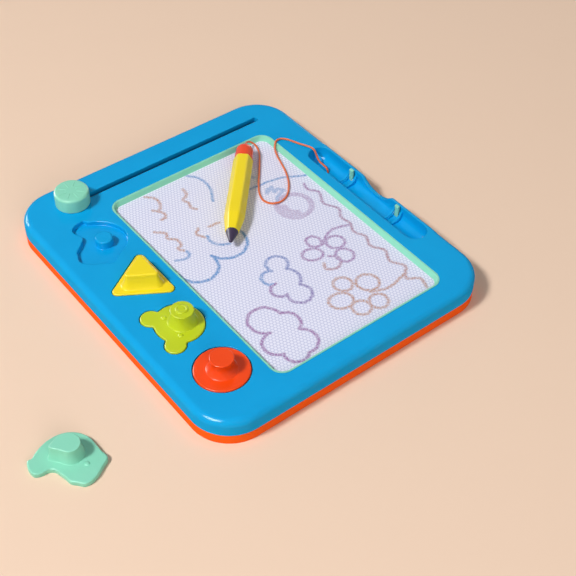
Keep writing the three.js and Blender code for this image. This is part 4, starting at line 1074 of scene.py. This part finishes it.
# ---------------------------------------- the eraser knob
KNOB_FOOT = 28.3
KNOB_TOP = 43.8
KNOB_ROUND = 2.8
RIB_SPAN = (5.2, 13.2)
RIB_HALF = 0.62
RIB_RISE = 0.42
knob_skin = Skin()
knob_skin.solid(
    circle(KNOB_RADIUS, KNOB, 96),
    [(-0.7, KNOB_FOOT), (-0.2, KNOB_FOOT + 0.15), (0, KNOB_FOOT + 0.6), (0, 39.3)]
    + quarter((0, KNOB_TOP - KNOB_ROUND), (0, KNOB_TOP), (-KNOB_ROUND, KNOB_TOP), 8)
    + [(-6.0, KNOB_TOP + 0.06)])
knob = knob_skin.piece("mint_eraser_knob", mint_abs)
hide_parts("eraser_knob")
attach(knob, "eraser")
rib_skin = Skin()
rib_skin.solid(
    rounded_rectangle((RIB_SPAN[0], -RIB_HALF), (RIB_SPAN[1], RIB_HALF), 0.6, turn=6),
    [(0, -0.3), (0, 0.0)] + [(0.5 * (math.cos(a) - 1), RIB_RISE * math.sin(a))
                             for a in (0.4, 0.8, 1.2, 1.5)])
knob_ribs = repeated("knob_top_ribs", [(*KNOB, KNOB_TOP + 0.04)] * 8,
                     [k * math.pi / 4 for k in range(8)],
                     rib_skin.piece("knob_rib", mint_abs), mint_abs)
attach(knob_ribs, "eraser")

# ---------------------------------------- the pen
PEN_WAY = Vector((0.74315, -0.66914, 0.0)).normalized()
PEN_TIP = Vector((2.04, 15.03, 32.3))
pen_side = PEN_WAY.cross(Vector((0, 0, 1)))
pen_place = Matrix.Translation(PEN_TIP) @ Matrix(
    (Vector((0, 0, 1)), pen_side, PEN_WAY)).transposed().to_4x4()


def pen_piece(skin, name, finish, node, sharp=50.0):
    """Lays a piece of the pen, made upright on its tip, in its place on the screen."""
    skin.points = [tuple(pen_place @ Vector(p)) for p in skin.points]
    made = skin.piece(name, finish, sharp)
    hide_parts(node)
    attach(made, "pen")


BARREL_FLATS = 18.6         # across its six flats
HEX_CORE = 7.044
HEX_ROUND = 3.2
hex_line = rounded_polygon([(HEX_CORE * math.cos(math.radians(30 + 60 * k)),
                             HEX_CORE * math.sin(math.radians(30 + 60 * k))) for k in range(6)],
                           HEX_ROUND, 2.0, 6)
barrel_skin = Skin()
barrel_tip, barrel_end = barrel_skin.bands([
    barrel_skin.ring(hex_line.points * flats / BARREL_FLATS, z)
    for flats, z in ((12.0, 14.3), (12.4, 14.55), (15.4, 24.2), (18.0, 32.6), (18.45, 34.2),
                     (18.6, 36.0), (18.6, 78.0), (18.6, 122.2), (18.3, 122.5), (17.8, 122.7))])
barrel_skin.fill(barrel_tip, up=False)
barrel_skin.fill(barrel_end)
pen_piece(barrel_skin, "yellow_pen_barrel", yellow_abs, "pen_barrel", 60.0)

tip_skin = Skin()
tip_skin.solid(
    circle(1.0, count=40), [(-0.6, 0.0), (-0.1, 0.12), (0.4, 0.45), (0.8, 0.9), (2.9, 7.0),
                            (5.0, 13.5), (5.2, 14.0)])
# the tip's polypropylene is softer, and looks duller and a little waxy
plum_plastic = moulded_abs("moulded plum polypropylene", "#33283F", "#3C304A", 0.4)
pen_piece(tip_skin, "plum_pen_tip", plum_plastic, "pen_tip")

CAP_RADIUS = 9.3
DOME_START = 135.7
CORD_WELL = 138.0           # the cord goes this deep into the cap's end
cap_skin = Skin()
dome = [(CAP_RADIUS * (math.cos(a) - 1), DOME_START + CAP_RADIUS * math.sin(a))
        for a in np.radians(np.linspace(0, 76, 14))]
cap_skin.solid(
    circle(CAP_RADIUS, count=64), [(-0.9, 123.0), (-0.25, 123.1), (0, 123.5)] + dome
    + [(-7.45, 144.75), (-7.8, 144.4), (-7.8, CORD_WELL)])
# the cap comes out of a polished tool: hardly any grain, and a sharp gloss
glossy_red = moulded_abs("polished orange-red ABS", "#F0461B", "#F24E22", 0.16, depth=0.008)
pen_piece(cap_skin, "red_pen_cap", glossy_red, "pen_cap")

# ---------------------------------------- the pen clips
# profiles of (y, height): a springy tab with a hooked head, and the foot that holds it
CLIP_TAB = [(-150.8, 9.2), (-148.8, 9.2), (-148.8, 26.2), (-148.0, 27.0), (-148.0, 27.8),
            (-148.8, 28.6), (-150.8, 28.6)]
CLIP_FOOT = [(-150.7, 9.2), (-145.8, 9.2), (-145.8, 10.7), (-150.7, 10.7)]
for number, x in enumerate(CLIP_X, 1):
    clip_skin = Skin()
    for line, half in ((CLIP_TAB, 2.5), (CLIP_FOOT, 4.5)):
        clip_skin.rib([(x - half, line), (x + half, line)])
    clip = clip_skin.piece(f"mint_pen_clip_{number}", mint_abs, 30.0)
    soft = clip.modifiers.new("rounded edges", "BEVEL")
    soft.width = 0.3 * MM
    soft.segments = 3
    soft.limit_method = "ANGLE"
    # the edges are rounded before the shading is evened
    clip.modifiers.move(1, 0)
    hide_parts(f"pen_clip_{number}")
    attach(clip, "board")

# ---------------------------------------- the cord
CORD_ROUTE = [
    (112.25, -84.21, 32.3), (114.2, -86.0, 32.2), (116.0, -88.5, 31.4), (116.9, -92.0, 29.9),
    (115.0, -95.4, 27.6), (111.4, -96.9, 25.4), (107.0, -96.2, 24.0), (100.0, -92.6, 23.9),
    (88.0, -84.0, 23.9), (74.0, -73.0, 23.9), (61.0, -62.6, 23.9), (49.0, -54.8, 23.9),
    (38.6, -52.0, 23.9), (30.4, -55.6, 23.9), (27.0, -63.8, 23.9), (29.4, -73.2, 23.9),
    (37.0, -82.4, 23.9), (48.6, -91.0, 23.9), (62.0, -97.6, 23.9), (76.0, -102.4, 23.9),
    (87.0, -106.0, 24.1), (94.4, -109.0, 25.6), (99.2, -112.6, 28.4), (102.0, -117.4, 29.4),
    (101.4, -122.4, 29.3), (97.4, -126.2, 29.3), (91.0, -129.4, 29.3), (83.6, -132.4, 29.3),
    (76.4, -135.8, 29.4), (71.0, -138.0, 29.6), (67.4, -139.0, 28.8), (64.9, -139.5, 26.4),
    (62.8, -139.8, 22.8), (60.0, -139.9, 19.4), (56.4, -139.9, 17.7), (52.8, -139.9, 17.6),
    (49.0, -139.9, 17.6), (47.1, -139.9, 17.2), (45.5, -139.9, 16.1), (44.4, -139.9, 14.6),
    (44.0, -139.9, 13.0), (44.0, -139.9, 11.0)]
CORD_THICK = 2.0


def tube(name, route, radius, sides, material):
    """A closed round tube along a line, with a UV map that runs along it in millimetres."""
    line = [Vector(p) for p in route]
    side = Vector((0.0, 0.0, 1.0))
    points, spots = [], []
    gone = 0.0
    for k, here in enumerate(line):
        if k:
            gone += (here - line[k - 1]).length
        way = (line[min(k + 1, len(line) - 1)] - line[max(k - 1, 0)]).normalized()
        side = (side - way * side.dot(way)).normalized()
        other = way.cross(side)
        for j in range(sides):
            angle = 2 * math.pi * j / sides
            points.append(here + radius * (math.cos(angle) * side + math.sin(angle) * other))
        spots.append(gone)
    faces, marks = [], []
    for k in range(len(line) - 1):
        for j in range(sides):
            n = (j + 1) % sides
            faces.append((k * sides + j, k * sides + n, (k + 1) * sides + n, (k + 1) * sides + j))
            marks.append(((spots[k], j / sides), (spots[k], (j + 1) / sides),
                          (spots[k + 1], (j + 1) / sides), (spots[k + 1], j / sides)))
    last = (len(line) - 1) * sides
    faces.append(tuple(reversed(range(sides))))
    marks.append(((0.0, 0.0),) * sides)
    faces.append(tuple(range(last, last + sides)))
    marks.append(((gone, 0.0),) * sides)
    mesh = bpy.data.meshes.new(name)
    mesh.from_pydata([tuple(p * MM) for p in points], [], faces)
    mesh.polygons.foreach_set("use_smooth", [True] * len(faces))
    layer = mesh.uv_layers.new(name="along")
    layer.data.foreach_set("uv", [c for face in marks for corner in face for c in corner])
    mesh.materials.append(material)
    return set_out(name, mesh)


# polyester yarn is dull, with a faint sheen where it turns away
cord_finish, tree, shader = new_finish("twisted orange polyester cord",
                                       {"Roughness": 0.62, "Sheen Weight": 0.2})
strands = add(tree, "ShaderNodeUVMap", uv_map="along")
apart = add(tree, "ShaderNodeSeparateXYZ", {0: strands.outputs[0]})
# three strands round the cord, each with one turn in 6 mm, so a crest passes every 2 mm
around = add(tree, "ShaderNodeMath", {0: apart.outputs[1], 1: 3.0}, operation="MULTIPLY")
laid = add(tree, "ShaderNodeMath", {0: apart.outputs[0], 1: 0.5, 2: around.outputs[0]},
           operation="MULTIPLY_ADD")
crest = add(tree, "ShaderNodeMath", {0: laid.outputs[0], 1: 0.5}, operation="PINGPONG")
height = add(tree, "ShaderNodeMapRange", {VALUE: crest.outputs[0], FROM_LOW: 0.0, FROM_HIGH: 0.3})
# painted shade: the grooves between the strands are painted darker (#A83A12) and the crests lighter
# (#EC7234), on top of the bump
tone = add(tree, "ShaderNodeMix",
           {SHARE: height.outputs[0], ONE_COLOUR: colour("#A83A12"),
            OTHER_COLOUR: colour("#EC7234")},
           data_type="RGBA")
tree.links.new(tone.outputs[MIXED], shader.inputs["Base Color"])
dents = add(tree, "ShaderNodeBump",
            {"Height": height.outputs[0], "Strength": 0.6, "Distance": 0.3 * MM})
tree.links.new(dents.outputs[0], shader.inputs["Normal"])

cord_line = smooth_line(CORD_ROUTE, 5)
cord = tube("cord", cord_line, CORD_THICK / 2, 12, cord_finish)
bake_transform(cord)
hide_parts("pen_cord")

# ---------------------------------------- finishes of the parts that stay
def worn(name, dark, light, size, rough, depth=0.02):
    """A plain made surface: two close tones in clouds of a real size, with a shallow bump."""
    material, tree, shader = new_finish(name, {"Roughness": rough})
    place = add(tree, "ShaderNodeTexCoord").outputs["Object"]
    spots = add(tree, "ShaderNodeTexNoise",
                {"Vector": place, "Scale": 1.0 / (size * MM), "Detail": 4.0})
    tone = add(tree, "ShaderNodeMix",
               {SHARE: spots.outputs[0], ONE_COLOUR: colour(dark), OTHER_COLOUR: colour(light)},
               data_type="RGBA")
    tree.links.new(tone.outputs[MIXED], shader.inputs["Base Color"])
    dents = add(tree, "ShaderNodeBump",
                {"Height": spots.outputs[0], "Strength": 0.4, "Distance": depth * MM})
    tree.links.new(dents.outputs[0], shader.inputs["Normal"])
    return material


KEPT = {
    # hidden mouldings without a colour of their own
    worn("moulded white ABS", "#E9E9E4", "#F4F4F0", 0.5, 0.45): [
        "screen_rail_left", "screen_rail_right", "eraser_bar"],
    # thin-walled cells hold the light of the white liquid
    worn("thermoformed white honeycomb", "#E4E5EE", "#F3F4FA", 1.2, 0.35): ["honeycomb_core"],
    # the back sheet is printed in soft colour, and dull
    worn("printed polyester sheet", "#C9BFD6", "#BFCBE2", 18.0, 0.5): ["screen_back_sheet"],
    # fired ferrite is dark grey with a dry, grainy face
    worn("sintered ferrite", "#2A2A2D", "#3A3A3E", 0.3, 0.7): ["pen_magnet"],
    # magnetic rubber is dark brown-grey, with a calendered sheen
    worn("calendered magnetic rubber", "#2C2826", "#3B3633", 0.6, 0.55): [
        "eraser_magnet", "circle_magnet", "bear_magnet", "triangle_magnet", "whale_magnet"],
    zinc_steel: ["knob_screw"] + [
        f"rail_screw_{side}_{k}" for side in ("left", "right") for k in (1, 2, 3)],
    # knots show the same strands as the cord, drawn as short dark and light flecks
    worn("knotted orange polyester cord", "#A83A12", "#EC7234", 0.7, 0.62, depth=0.2): [
        "pen_knot", "anchor_knot"],
}
for finish, names in KEPT.items():
    for name in names:
        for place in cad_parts[name].material_slots:
            place.material = finish

# ---------------------------------------- floor, sky and lamps
FLOOR_HALF = 4.0            # in metres
SKY_LIGHT = 0.25
SKY_SEEN = 0.8
floor_finish = new_finish("plain pale floor", {
    "Base Color": colour("#F1D3BA"), "Roughness": 0.8, "Specular IOR Level": 0.0})[0]
floor_mesh = bpy.data.meshes.new("floor")
floor_mesh.from_pydata([(x * FLOOR_HALF, y * FLOOR_HALF, 0)
                        for x, y in ((-1, -1), (1, -1), (1, 1), (-1, 1))], [], [(0, 1, 2, 3)])
floor_mesh.materials.append(floor_finish)
floor = set_out("floor", floor_mesh)

# a soft sky that is dim as a light, and pale to the camera and in what mirrors it
world = bpy.data.worlds.new("studio")
world.use_nodes = True
sky = world.node_tree.nodes["Background"]
sky.inputs["Color"].default_value = colour("#F4F6FA")
rays = add(world.node_tree, "ShaderNodeLightPath").outputs
seen = rays["Is Camera Ray"]
for ray in ("Is Glossy Ray", "Is Transmission Ray"):
    seen = add(world.node_tree, "ShaderNodeMath", {0: seen, 1: rays[ray]},
               operation="MAXIMUM").outputs[0]
strength = add(world.node_tree, "ShaderNodeMapRange",
               {VALUE: seen, TO_LOW: SKY_LIGHT, TO_HIGH: SKY_SEEN})
world.node_tree.links.new(strength.outputs[0], sky.inputs["Strength"])
scene.world = world


def soft_light(name, way, climb, size, energy, far=2.2, mirrored=False):
    """A lamp that looks at the board from a way over the floor and a climb above it, in degrees.
    A mirrored one is a shining card: it only shows as the white streaks on glossy rounds, and the
    others only light what is matt."""
    data = bpy.data.lights.new(name, "AREA")
    data.shape = "DISK"
    data.size = size
    data.energy = energy
    lamp = set_out(name, data)
    flat = Vector((way[0], way[1], 0.0)).normalized() * math.cos(math.radians(climb))
    towards = flat + Vector((0, 0, math.sin(math.radians(climb))))
    lamp.location = towards * far
    lamp.rotation_euler = towards.to_track_quat("Z", "Y").to_euler()
    lamp.visible_diffuse = not mirrored
    lamp.visible_glossy = mirrored


soft_light("window_light", (0.12, 0.99), 51, 0.8, 124.0, far=4.0)
soft_light("front_fill", (-0.95, 0.30), 28, 2.2, 42.0, far=4.0)
soft_light("far_rim_light", (0.55, -0.82), 8, 0.5, 3.0)
soft_light("far_card", (0.55, -0.82), 8, 0.6, 14.0, mirrored=True)
soft_light("side_card", (0.93, 0.36), 14, 1.0, 66.0, mirrored=True)
soft_light("window_card", (-0.22, 0.97), 46, 1.1, 84.0, mirrored=True)
